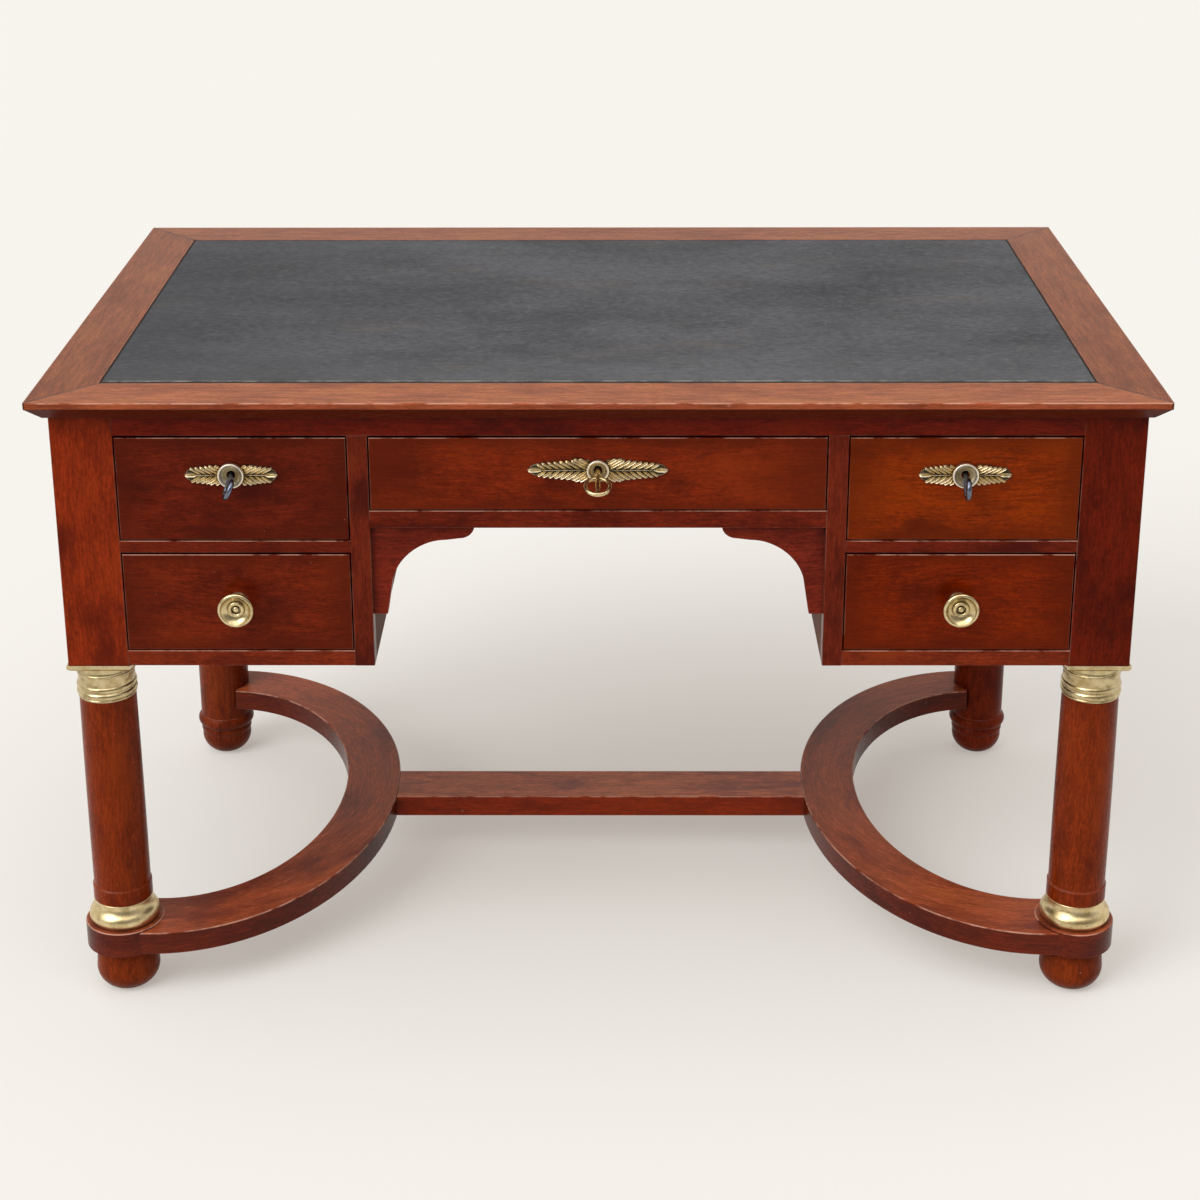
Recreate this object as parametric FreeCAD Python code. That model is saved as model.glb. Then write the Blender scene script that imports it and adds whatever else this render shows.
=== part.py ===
import FreeCAD, Part
import math
import os

# Kneehole writing table in mahogany: five drawers, a leather-lined top with a mitred rim,
# brass-mounted columns in front, turned legs behind and U-shaped floor stretchers.
# Lengths are in millimetres and angles in degrees. The origin is on the floor under the
# middle of the top, +Z is up, +X is to the right of a person who faces the drawers at -Y.

# Whole table
top_width = 1280.0
top_depth = 780.0
desk_height = 780.0
case_height = 311.0
top_thickness = 23.0
side_overhang = 20.0
front_overhang = 30.0
back_overhang = 36.0

# Top: rim boards, inner board and leather
rim_width = 71.0
rim_band = 8.5
rim_bevel = 17.0
rim_arris = 1.6
rim_corner = 4.0
tongue_depth = 8.0
tongue_thickness = 7.0
leather_thickness = 1.6
leather_sink = 0.4
leather_gap = 0.5

# Case: posts, panels, rails and stiles
post_width = 71.0
post_arris = 1.2
frame_arris = 0.8
rear_post_width = 95.0
side_thickness = 20.0
back_thickness = 15.0
bottom_thickness = 12.0
frame_depth = 22.0
kneehole_share = 0.4078125
divider_thickness = 23.0
top_rail_height = 26.0
mid_rail_height = 14.5
bottom_rail_height = 19.0
centre_rail_height = 21.0
upper_opening_height = 128.0
centre_opening_height = 91.0

# Scalloped brackets under the centre rail
bracket_thickness = 18.0
bracket_setback = 7.0
bracket_reach = 119.0
bracket_drop = 110.0
bracket_foot = 16.5
bracket_foot_height = 40.0
bracket_foot_slope_share = 0.16
bracket_cove_reach = 86.0
bracket_cove_drop = 17.5
bracket_nose_length = 17.0
bracket_nose_drop = 15.5

# Drawers
drawer_gap = 1.5
drawer_top_gap = 2.5
drawer_back_gap = 59.0
drawer_front_thickness = 21.0
drawer_front_arris = 1.0
drawer_side_thickness = 10.0
drawer_side_drop = 12.0
drawer_bottom_thickness = 6.0
drawer_bottom_lift = 8.0
drawer_groove = 5.0

# Runners, guides and kickers
runner_width = 18.0
runner_height = 14.0
guide_height = 20.0
slide_clearance = 0.3
kicker_clearance = 1.0

# Locks and bolts
side_lock_drop = 44.0
centre_lock_drop = 38.0
lock_width = 52.0
lock_depth = 12.0
lock_below_keyhole = 16.0
lock_wall = 1.5
lock_fit = 0.2
bolt_width = 22.0
bolt_thickness = 5.0
bolt_lift = 5.5
bolt_throw = 8.0
bolt_play = 0.3
mortise_depth = 12.0
keyhole_width = 7.0

# Keys: the axis leans down towards the front, as a key hangs in a worn lock
key_droop = 20.0
key_reach = 46.0
key_shank_radius = 3.0
key_bead_radius = 4.6
key_bead_length = 3.0
key_bow_radius = 13.8
key_bow_wire = 2.4
steel_key_reach = 39.0
steel_bow_radius = 10.4
steel_bow_wire = 3.1
key_bit_radius = 7.0
key_bit_length = 4.0
key_bit_thickness = 2.4
left_bit_angle = -117.0
centre_bit_angle = 0.0
right_bit_angle = -90.0

# Leaf escutcheons with a dished collar
escutcheon_plate = 2.6
side_escutcheon_length = 106.0
centre_escutcheon_length = 160.0
side_escutcheon_height = 21.0
centre_escutcheon_height = 26.0
collar_radius = 15.0
collar_height = 7.0
collar_lip = 1.4
collar_floor = 1.8
collar_hole_radius = 5.2
leaf_angle = 27.0
leaf_pairs_side = 5
leaf_pairs_centre = 7
leaf_length_share = 0.34
leaf_width_share = 0.30
leaf_tip_shrink_share = 0.45
leaf_first_share = 0.02
leaf_last_share = 0.74
spine_width_share = 0.16

# Knobs
knob_radius = 21.0
knob_reach = 26.0
knob_rim = 3.2
knob_dish = 6.2
knob_bowl_share = 0.7
knob_hollow = 1.2
knob_neck_radius = 8.5
knob_foot_radius = 13.0
knob_foot_height = 3.0
knob_bead_radius = 9.6
knob_bead_width = 3.4
knob_bead_height = 2.8
knob_boss_radius = 3.6
knob_boss_flat = 1.2
knob_boss_height = 2.4
knob_boss_round_share = 0.7
knob_shank_radius = 3.0
nut_width = 11.0
nut_height = 5.0

# Front legs: columns, capitals, base rings and feet
column_top_radius = 33.4
column_foot_radius = 34.2
column_swell = 0.5
column_core_radius = 31.0
cuff_radius = 35.6
cuff_height = 20.0
cuff_step = 1.6
tenon_radius = 14.0
tenon_length = 30.0
foot_tenon_length = 26.0
tenon_play = 0.15
tenon_end_gap = 1.0
sleeve_play = 0.2
abacus_width = 75.0
abacus_height = 7.5
abacus_chamfer = 3.2
capital_height = 50.0
capital_radius = 33.9
capital_swell = 1.8
capital_band_shares = ((0.0, 0.06, 0.35), (0.06, 0.24, 0.95), (0.27, 0.43, 0.85),
                       (0.46, 0.70, -0.30), (0.72, 0.80, 0.50), (0.82, 0.98, -0.40))
base_ring_height = 31.0
base_ring_radius = 42.4
base_ring_foot = 39.6
base_ring_waist = 37.4
base_ring_top = 34.9
base_ring_lip = 3.2
base_torus_share = 0.53
base_scotia_share = 0.45
foot_height = 60.0
foot_radius = 38.0
foot_flat_radius = 20.0
foot_neck_radius = 33.4
foot_neck_height = 6.0
foot_belly_share = 0.52
foot_round_share = 0.71

# Rear legs, turned in one piece
rear_leg_side_inset = 59.0
rear_leg_back_inset = 51.0
rear_leg_radius = 36.0
rear_leg_top_radius = 35.0
rear_foot_height = 32.0
rear_foot_radius = 35.0
rear_foot_flat_radius = 18.0
rear_ring_height = 28.0
rear_ring_radius = 40.6
rear_ring_torus_share = 0.62
rear_step_share = 0.3

# Floor stretchers and cross bar: the stretchers climb a little towards the rear legs
stretcher_thickness = 29.0
stretcher_front_width = 80.0
stretcher_crown_width = 72.0
stretcher_crown_shift = 10.0
stretcher_rear_width = 68.0
stretcher_straight = 36.5
stretcher_end_inset = 22.0
stretcher_arris = 1.5
stretcher_rise = 17.5
disc_radius = 47.5
disc_thickness = 32.0
cross_bar_length = 548.0
cross_bar_width = 70.0
cross_bar_scribe = 8.0
bar_tenon_width = 40.0
bar_tenon_thickness = 12.0
bar_tenon_length = 20.0
leg_tenon_radius = 9.0
leg_tenon_length = 20.0

# Shared values: how far a cut runs past a face, how far two points may differ and still count as
# level, the handle of a quarter ellipse, and how far the middle of a quarter arc is from its corner
overrun = 2.0
level_play = 0.2
quarter_handle_share = 0.5523
arc_middle_share = 1 - math.sqrt(0.5)
half_turn = 180.0
full_turn = 360.0

# Places that follow from the sizes
case_x = top_width / 2 - side_overhang
case_front = -top_depth / 2 + front_overhang
case_back = top_depth / 2 - back_overhang
case_top = desk_height - top_thickness
case_bottom = case_top - case_height
knee_x = top_width * kneehole_share / 2
divider_x = knee_x + divider_thickness
post_x = case_x - post_width
rear_post_x = case_x - rear_post_width
post_back = case_front + post_width
rear_post_front = case_back - rear_post_width
frame_back = case_front + frame_depth
back_inner = case_back - back_thickness
side_inner_x = case_x - side_thickness
opening_top = case_top - top_rail_height
mid_rail_top = opening_top - upper_opening_height
mid_rail_bottom = mid_rail_top - mid_rail_height
bottom_rail_top = case_bottom + bottom_rail_height
bottom_board_top = case_bottom + bottom_thickness
centre_rail_top = opening_top - centre_opening_height
centre_rail_bottom = centre_rail_top - centre_rail_height
leg_x = case_x - post_width / 2
leg_y = case_front + post_width / 2
rear_leg_x = case_x - rear_leg_side_inset
rear_leg_y = case_back - rear_leg_back_inset
disc_top = foot_height + disc_thickness
board_middle = foot_height + disc_thickness / 2
board_low = board_middle - stretcher_thickness / 2
board_top = board_middle + stretcher_thickness / 2
stretcher_tilt = math.degrees(math.atan(stretcher_rise / (rear_leg_y - leg_y)))
stretcher_mid_y = (leg_y + rear_leg_y) / 2 + stretcher_crown_shift
crown_x = cross_bar_length / 2
capital_bottom = case_bottom - capital_height
base_ring_end = disc_top + base_ring_height
drawer_back = rear_post_front - drawer_back_gap
front_inner = case_front + drawer_front_thickness
pedestal_drawer_left = divider_x + drawer_gap
pedestal_drawer_right = post_x - drawer_gap
pedestal_drawer_x = (pedestal_drawer_left + pedestal_drawer_right) / 2
drawer_top = opening_top - drawer_top_gap
side_keyhole = drawer_top - side_lock_drop
centre_keyhole = drawer_top - centre_lock_drop
lock_y = front_inner - lock_depth / 2
bolt_y_low = lock_y - bolt_thickness / 2
bolt_y_high = lock_y + bolt_thickness / 2
key_inset = lock_y - case_front
key_rise = key_inset * math.tan(math.radians(key_droop))


def vec(x, y, z):
    return FreeCAD.Vector(x, y, z)


origin = vec(0, 0, 0)
along_x = vec(1, 0, 0)
along_y = vec(0, 1, 0)
along_z = vec(0, 0, 1)


# Shape helpers

def block(x_low, x_high, y_low, y_high, z_low, z_high):
    corner = vec(x_low, y_low, z_low)
    return Part.makeBox(x_high - x_low, y_high - y_low, z_high - z_low, corner)


def rod(radius, start, end):
    return Part.makeCylinder(radius, (end - start).Length, start, end - start)


def trace(place, start, *steps):
    # A closed face: each step holds the next corner, or a point on an arc and the next corner.
    edges = []
    here = place(start)
    for step in steps:
        there = place(step[-1])
        if len(step) == 1:
            edges.append(Part.makeLine(here, there))
        else:
            edges.append(Part.Arc(here, place(step[0]), there).toShape())
        here = there
    edges.append(Part.makeLine(here, place(start)))
    return Part.Face(Part.Wire(edges))


def half_section(point):
    return vec(point[0], 0, point[1])


def turned(start, *steps):
    return trace(half_section, start, *steps).revolve(origin, along_z, full_turn)


def quarter(start, corner, end):
    # A quarter ellipse that leaves its start and its end towards the corner.
    curve = Part.BezierCurve()
    start_handle = start + (corner - start) * quarter_handle_share
    end_handle = end + (corner - end) * quarter_handle_share
    curve.setPoles([start, start_handle, end_handle, end])
    return curve.toShape()


def moved(shape, x, y, z):
    return shape.translated(vec(x, y, z))


def mirrored(shape):
    return shape.mirror(origin, along_x)


def both_sides(shape):
    return mirrored(shape), shape


def edges_at(shape, measure, value):
    # Edges whose two ends both lie at a given place along one axis.
    return [edge for edge in shape.Edges
            if all(abs(measure(vertex.Point) - value) < level_play for vertex in edge.Vertexes)]


def height_of(point):
    return point.z


def depth_of(point):
    return point.y


def save(node, *pieces):
    solids = [solid for piece in pieces for solid in piece.Solids]
    shape = solids[0] if len(solids) == 1 else Part.makeCompound(solids)
    shape.exportStep("parts/" + node + ".step")


def save_pair(node, shape):
    left, right = both_sides(shape)
    save(node + "_left", left)
    save(node + "_right", right)


# Top

def rim_board(length):
    # One rim board along X with its moulded edge at y = 0, mitred at both ends.
    groove_low = (top_thickness - leather_sink - leather_thickness - tongue_thickness) / 2
    groove_high = groove_low + tongue_thickness
    groove_end = rim_width - tongue_depth
    band_low = top_thickness - rim_band
    arris_middle = rim_arris * arc_middle_share

    def place(point):
        return vec(-length / 2, point[0], point[1])

    face = trace(place, (rim_bevel, 0), ((rim_width, 0),), ((rim_width, groove_low),),
                 ((groove_end, groove_low),), ((groove_end, groove_high),), ((rim_width, groove_high),),
                 ((rim_width, top_thickness),), ((rim_arris, top_thickness),),
                 ((arris_middle, top_thickness - arris_middle), (0, top_thickness - rim_arris)),
                 ((0, band_low + rim_arris),),
                 ((arris_middle, band_low + arris_middle), (rim_arris, band_low)))
    board = face.extrude(along_x * length)
    mitre = trace(lambda point: vec(point[0], point[1], 0), (-length / 2, 0), ((length / 2, 0),),
                  ((length / 2 - rim_width, rim_width),), ((rim_width - length / 2, rim_width),))
    return board.common(mitre.extrude(along_z * top_thickness))


def make_top():
    half_width = top_width / 2
    half_depth = top_depth / 2
    plan = block(-half_width, half_width, -half_depth, half_depth, case_top, desk_height)
    corners = [edge for edge in plan.Edges if edge.Vertexes[0].X == edge.Vertexes[1].X
               and edge.Vertexes[0].Y == edge.Vertexes[1].Y]
    plan = plan.makeFillet(rim_corner, corners)
    quarter_turn = half_turn / 2
    long_board = rim_board(top_width)
    short_board = rim_board(top_depth)
    boards = (("rim_front", long_board, 0, 0, -half_depth),
              ("rim_back", long_board, half_turn, 0, half_depth),
              ("rim_left", short_board, -quarter_turn, -half_width, 0),
              ("rim_right", short_board, quarter_turn, half_width, 0))
    for node, board, turn, x, y in boards:
        board = board.rotated(origin, along_z, turn)
        save(node, moved(board, x, y, case_top).common(plan))

    inner_x = half_width - rim_width
    inner_y = half_depth - rim_width
    panel_top = desk_height - leather_sink - leather_thickness
    tongue_low = (case_top + panel_top - tongue_thickness) / 2
    panel = block(-inner_x, inner_x, -inner_y, inner_y, case_top, panel_top)
    tongue = block(-inner_x - tongue_depth, inner_x + tongue_depth, -inner_y - tongue_depth,
                   inner_y + tongue_depth, tongue_low, tongue_low + tongue_thickness)
    save("top_board", panel.fuse(tongue))
    save("leather_inlay", block(leather_gap - inner_x, inner_x - leather_gap, leather_gap - inner_y,
                                inner_y - leather_gap, panel_top, panel_top + leather_thickness))


# Case

def tenon_hole(x, y):
    end = case_bottom + tenon_length + tenon_end_gap
    return rod(tenon_radius + tenon_play, vec(x, y, case_bottom - overrun), vec(x, y, end))


def softened(board, direction, arris):
    # Rounds the two front edges that run along a direction.
    edges = [edge for edge in edges_at(board, depth_of, case_front)
             if abs((edge.Vertexes[1].Point - edge.Vertexes[0].Point).dot(direction)) > level_play]
    return board.makeFillet(arris, edges)


def make_case():
    front_post = block(post_x, case_x, case_front, post_back, case_bottom, case_top)
    rounded_post = softened(front_post, along_z, post_arris)
    rear_post = block(rear_post_x, case_x, rear_post_front, case_back, case_bottom, case_top)
    save_pair("front_post", rounded_post.cut(tenon_hole(leg_x, leg_y)))
    save_pair("rear_post", rear_post.cut(tenon_hole(rear_leg_x, rear_leg_y)))
    side_panel = block(side_inner_x, case_x, post_back, rear_post_front, case_bottom, case_top)
    save_pair("side_panel", side_panel)
    inner_side = block(knee_x, divider_x, frame_back, case_back, case_bottom, case_top)
    save("inner_sides", *both_sides(inner_side))
    stile = block(knee_x, divider_x, case_front, frame_back, case_bottom, opening_top)
    save("divider_stiles", *both_sides(softened(stile, along_z, frame_arris)))
    back = block(divider_x, rear_post_x, back_inner, case_back, case_bottom, case_top)
    save("pedestal_backs", *both_sides(back))
    save("back_frieze", block(-knee_x, knee_x, back_inner, case_back, centre_rail_bottom, case_top))
    bottom = block(divider_x, side_inner_x, frame_back, back_inner, case_bottom, bottom_board_top)
    save("pedestal_bottoms", *both_sides(bottom.cut(front_post).cut(rear_post)))

    top_rail = block(-post_x, post_x, case_front, frame_back, opening_top, case_top)
    top_rail = softened(top_rail, along_x, frame_arris)
    for x in (-pedestal_drawer_x, 0, pedestal_drawer_x):
        half = bolt_width / 2 + overrun
        top_rail = top_rail.cut(block(x - half, x + half, bolt_y_low - overrun, bolt_y_high + overrun,
                                      opening_top - overrun, opening_top + mortise_depth))
    save("top_rail", top_rail)
    centre_rail = block(-knee_x, knee_x, case_front, frame_back, centre_rail_bottom, centre_rail_top)
    save("centre_rail", softened(centre_rail, along_x, frame_arris))
    mid_rail = block(divider_x, post_x, case_front, frame_back, mid_rail_bottom, mid_rail_top)
    save("mid_rails", *both_sides(softened(mid_rail, along_x, frame_arris)))
    bottom_rail = block(divider_x, post_x, case_front, frame_back, case_bottom, bottom_rail_top)
    save("bottom_rails", *both_sides(softened(bottom_rail, along_x, frame_arris)))


def make_brackets():
    front = case_front + bracket_setback

    def place(reach, drop):
        return vec(knee_x - reach, front, centre_rail_bottom - drop)

    def foot_at(drop):
        return bracket_foot + (bracket_drop - drop) * bracket_foot_slope_share

    # From the rail down: a rounded nose, a cove and a foot that leans in towards its end.
    foot_top = bracket_drop - bracket_foot_height
    nose_end = bracket_reach - bracket_nose_length
    nose_low = place(nose_end, bracket_nose_drop)
    cove_start = place(bracket_cove_reach, bracket_cove_drop)
    cove_end = place(foot_at(foot_top), foot_top)
    foot_end = place(bracket_foot, bracket_drop)
    edges = [Part.makeLine(place(0, 0), place(bracket_reach, 0)),
             quarter(place(bracket_reach, 0), place(bracket_reach, bracket_nose_drop), nose_low),
             Part.makeLine(nose_low, cove_start),
             quarter(cove_start, place(foot_at(bracket_cove_drop), bracket_cove_drop), cove_end),
             Part.makeLine(cove_end, foot_end),
             Part.makeLine(foot_end, place(0, bracket_drop)),
             Part.makeLine(place(0, bracket_drop), place(0, 0))]
    bracket = Part.Face(Part.Wire(edges)).extrude(along_y * bracket_thickness)
    save("brackets", *both_sides(bracket))


def make_runners():
    upper_top = mid_rail_top + drawer_gap - slide_clearance
    lower_top = bottom_rail_top + drawer_gap - slide_clearance
    centre_top = centre_rail_top + drawer_gap - slide_clearance
    kicker_low = drawer_top - drawer_side_drop + kicker_clearance
    inner_x = divider_x + runner_width
    foot_x = post_x - runner_width
    strips = []
    for low, top in ((upper_top - runner_height, upper_top), (bottom_board_top, lower_top)):
        strips.append(block(divider_x, inner_x, frame_back, back_inner, low, top))
        strips.append(block(foot_x, side_inner_x, post_back, rear_post_front, low, top))
        strips.append(block(post_x, side_inner_x, post_back, rear_post_front, top, top + guide_height))
    strips.append(block(divider_x, inner_x, frame_back, back_inner, kicker_low, case_top))
    strips.append(block(foot_x, side_inner_x, post_back, rear_post_front, kicker_low, case_top))
    centre_x = knee_x - runner_width
    strips.append(block(centre_x, knee_x, frame_back, back_inner, centre_top - runner_height, centre_top))
    strips.append(block(centre_x, knee_x, frame_back, back_inner, kicker_low, case_top))
    save("drawer_runners", *[shape for strip in strips for shape in both_sides(strip)])


# Drawers

def key_point(x, keyhole, reach):
    # A point on the key's leaning axis, reach in front of the drawer's face.
    lean = math.radians(key_droop)
    return vec(x, case_front - reach * math.cos(lean), keyhole - reach * math.sin(lean))


def keyhole_slot(x, keyhole, back):
    # A slot tall enough for the leaning key.
    half = keyhole_width / 2
    low = vec(x, case_front - overrun, keyhole)
    high = vec(x, case_front - overrun, keyhole + key_rise)
    run = along_y * (back - case_front + overrun)
    middle = block(x - half, x + half, case_front - overrun, back, keyhole, keyhole + key_rise)
    return middle.fuse(rod(half, low, low + run)).fuse(rod(half, high, high + run))


def make_drawer(place, x_low, x_high, z_low, z_high, keyhole=None, knob_z=None):
    x_middle = (x_low + x_high) / 2
    bottom_low = z_low + drawer_bottom_lift
    bottom_high = bottom_low + drawer_bottom_thickness
    side_top = z_high - drawer_side_drop
    inner_left = x_low + drawer_side_thickness
    inner_right = x_high - drawer_side_thickness
    back_front = drawer_back - drawer_side_thickness

    front = block(x_low, x_high, case_front, front_inner, z_low, z_high)
    front = front.makeFillet(drawer_front_arris, edges_at(front, depth_of, case_front))
    bottom = block(inner_left - drawer_groove, inner_right + drawer_groove, front_inner - drawer_groove,
                   drawer_back, bottom_low, bottom_high)
    front = front.cut(bottom)
    if keyhole is not None:
        half = lock_width / 2 + lock_fit
        pocket = block(x_middle - half, x_middle + half, front_inner - lock_depth - lock_fit,
                       front_inner + overrun, keyhole - lock_below_keyhole - lock_fit, z_high + overrun)
        front = front.cut(pocket).cut(keyhole_slot(x_middle, keyhole, front_inner))
    if knob_z is not None:
        hole_start = vec(x_middle, case_front - overrun, knob_z)
        hole_end = vec(x_middle, front_inner + overrun, knob_z)
        front = front.cut(rod(knob_shank_radius + tenon_play, hole_start, hole_end))
    save("drawer_front_" + place, front)

    left = block(x_low, inner_left, front_inner, drawer_back, z_low, side_top).cut(bottom)
    right = block(inner_right, x_high, front_inner, drawer_back, z_low, side_top).cut(bottom)
    back = block(inner_left, inner_right, back_front, drawer_back, bottom_high, side_top)
    save("drawer_box_" + place, left, right, back, bottom)


def make_drawers():
    mirror_low = -pedestal_drawer_right
    mirror_high = -pedestal_drawer_left
    upper_low = mid_rail_top + drawer_gap
    lower_low = bottom_rail_top + drawer_gap
    lower_high = mid_rail_bottom - drawer_top_gap
    knob_z = (lower_low + lower_high) / 2
    for side, x_low, x_high in (("left", mirror_low, mirror_high),
                                ("right", pedestal_drawer_left, pedestal_drawer_right)):
        make_drawer("upper_" + side, x_low, x_high, upper_low, drawer_top, keyhole=side_keyhole)
        make_drawer("lower_" + side, x_low, x_high, lower_low, lower_high, knob_z=knob_z)
        make_knob("knob_" + side, (x_low + x_high) / 2, knob_z)
    half = knee_x - drawer_gap
    make_drawer("centre", -half, half, centre_rail_top + drawer_gap, drawer_top, keyhole=centre_keyhole)


def make_lock(place, x, keyhole):
    # Case: a closed box let into the drawer front, with a keyhole and a slot for the bolt.
    half = lock_width / 2
    y_low = front_inner - lock_depth
    z_low = keyhole - lock_below_keyhole
    case = block(x - half, x + half, y_low, front_inner, z_low, drawer_top)
    inner_half = half - lock_wall
    case = case.cut(block(x - inner_half, x + inner_half, y_low + lock_wall, front_inner - lock_wall,
                          z_low + lock_wall, drawer_top - lock_wall))
    case = case.cut(keyhole_slot(x, keyhole, lock_y))
    slot = bolt_width / 2 + bolt_play
    case = case.cut(block(x - slot, x + slot, bolt_y_low - bolt_play, bolt_y_high + bolt_play,
                          drawer_top - lock_wall - overrun, drawer_top + overrun))
    save("lock_case_" + place, case)

    # Bolt: drawn back at rest, it rises into the top rail when the key turns.
    bolt_half = bolt_width / 2
    save("lock_bolt_" + place, block(x - bolt_half, x + bolt_half, bolt_y_low, bolt_y_high,
                                     keyhole + key_rise + bolt_lift, drawer_top - bolt_play))


def make_key(place, x, keyhole, bit_angle, reach, bow_radius, bow_wire):
    # Shank, bead, ring bow with a bar across it, and the bit inside the lock.
    tip = -key_inset / math.cos(math.radians(key_droop)) - key_bit_length / 2
    shank_end = key_point(x, keyhole, reach - bow_wire)
    shank = rod(key_shank_radius, key_point(x, keyhole, tip), shank_end)
    bow_middle = reach - bow_radius - bow_wire
    lean = math.radians(key_droop)
    outward = along_y * -math.cos(lean) - along_z * math.sin(lean)
    bow_near = bow_middle - bow_radius
    bead_start = key_point(x, keyhole, bow_near - key_bead_length)
    bead = rod(key_bead_radius, bead_start, bead_start + outward * key_bead_length)
    across = along_x.cross(outward)
    bow = Part.makeTorus(bow_radius, bow_wire, key_point(x, keyhole, bow_middle), across)
    bit = block(0, key_bit_radius, 0, key_bit_length, -key_bit_thickness / 2, key_bit_thickness / 2)
    bit = bit.rotated(origin, along_x, key_droop + half_turn)
    bit = bit.translated(key_point(x, keyhole, tip))
    key = shank.fuse([bead, bow, bit]).removeSplitter()
    save("key_" + place, key.rotated(key_point(x, keyhole, 0), outward, bit_angle))


def make_locks():
    make_lock("left", -pedestal_drawer_x, side_keyhole)
    make_lock("centre", 0, centre_keyhole)
    make_lock("right", pedestal_drawer_x, side_keyhole)


def make_keys():
    steel = (steel_key_reach, steel_bow_radius, steel_bow_wire)
    make_key("left", -pedestal_drawer_x, side_keyhole, left_bit_angle, *steel)
    make_key("right", pedestal_drawer_x, side_keyhole, right_bit_angle, *steel)
    make_key("centre", 0, centre_keyhole, centre_bit_angle, key_reach, key_bow_radius, key_bow_wire)


# Brass mounts on the drawers

def leaf(length, width):
    half = width / 2
    tip = vec(length, 0, 0)
    upper = Part.Arc(origin, vec(length / 2, 0, half), tip).toShape()
    lower = Part.Arc(tip, vec(length / 2, 0, -half), origin).toShape()
    return Part.Face(Part.Wire([upper, lower])).extrude(along_y * -escutcheon_plate)


def leaf_branch(length, height, pairs):
    # A spray that narrows to a point: a spine, paired leaves and one leaf at the tip.
    leaf_length = length * leaf_length_share
    leaf_width = height * leaf_width_share
    half = height * spine_width_share / 2
    spine = block(0, length - leaf_length / 2, -escutcheon_plate, 0, -half, half)
    leaves = [moved(leaf(leaf_length, leaf_width), length - leaf_length, 0, 0)]
    for index in range(pairs):
        along = index / (pairs - 1)
        start = length * (leaf_first_share + (leaf_last_share - leaf_first_share) * along)
        size = 1 - leaf_tip_shrink_share * along
        blade = leaf(leaf_length * size, leaf_width)
        for tilt in (leaf_angle, -leaf_angle):
            leaves.append(moved(blade.rotated(origin, along_y, tilt), start, 0, 0))
    return spine.fuse(leaves)


def make_escutcheon(place, x, z, length, height, pairs):
    branch = moved(leaf_branch(length / 2 - collar_radius + collar_lip, height, pairs),
                   collar_radius - collar_lip, 0, 0)
    lip_inner = collar_radius - collar_lip * 2
    lip_low = collar_height - collar_lip
    dish_middle = (collar_hole_radius + collar_lip * 2, collar_floor + collar_lip / 2)
    collar = turned((collar_hole_radius, 0), ((collar_radius, 0),), ((collar_radius, lip_low),),
                    ((collar_radius - collar_lip, collar_height), (lip_inner, lip_low)),
                    (dish_middle, (collar_hole_radius, collar_floor)))
    collar = collar.rotated(origin, along_x, half_turn / 2)
    bore = rod(collar_radius - collar_lip, origin, along_y * -collar_height)
    plate = branch.fuse(mirrored(branch)).cut(bore)
    whole = plate.fuse(collar).removeSplitter()
    save("escutcheon_" + place, moved(whole, x, case_front, z))


def make_escutcheons():
    for place, x in (("left", -pedestal_drawer_x), ("right", pedestal_drawer_x)):
        make_escutcheon(place, x, side_keyhole, side_escutcheon_length, side_escutcheon_height,
                        leaf_pairs_side)
    make_escutcheon("centre", 0, centre_keyhole, centre_escutcheon_length, centre_escutcheon_height,
                    leaf_pairs_centre)


def make_knob(node, x, z):
    # Turned about its own axis: foot, neck, rounded rim, hollow dish with a ring and a boss.
    rim_mid = knob_reach - knob_rim
    dish_floor = knob_reach - knob_dish
    bowl_middle = knob_reach - knob_dish * knob_bowl_share
    hollow_floor = dish_floor - knob_hollow
    bead_inner = knob_bead_radius - knob_bead_width
    bead_mid = knob_bead_radius - knob_bead_width / 2
    neck_top = rim_mid - knob_rim
    rim_inner = knob_radius - knob_rim
    dish_mid = (rim_inner + knob_bead_radius) / 2
    boss_top = dish_floor + knob_boss_height
    boss_mid = knob_boss_flat + (knob_boss_radius - knob_boss_flat) * knob_boss_round_share
    foot_mid = (knob_foot_radius - knob_foot_height / 2, knob_foot_height)
    boss_shoulder = (boss_mid, dish_floor + knob_boss_height * knob_boss_round_share)
    knob = turned((0, 0), ((knob_foot_radius, 0),),
                  (foot_mid, (knob_neck_radius, knob_foot_height * 2)),
                  ((knob_neck_radius + knob_rim, neck_top - knob_rim), (rim_inner, neck_top)),
                  ((knob_radius, rim_mid), (rim_inner, knob_reach)),
                  ((dish_mid, bowl_middle), (knob_bead_radius, dish_floor)),
                  ((bead_mid, dish_floor + knob_bead_height), (bead_inner, hollow_floor)),
                  ((knob_boss_radius, hollow_floor),),
                  (boss_shoulder, (knob_boss_flat, boss_top)),
                  ((0, boss_top),))
    shank_end = drawer_front_thickness + nut_height
    knob = knob.fuse(rod(knob_shank_radius, origin, along_z * -shank_end))
    nut_start = -shank_end
    half = nut_width / 2
    nut = block(-half, half, -half, half, nut_start, nut_start + nut_height)
    nut = nut.cut(rod(knob_shank_radius, along_z * (nut_start - overrun), origin))
    facing_front = [piece.rotated(origin, along_x, half_turn / 2) for piece in (knob, nut)]
    save(node, *[moved(piece, x, case_front, z) for piece in facing_front])


# Front legs

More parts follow.
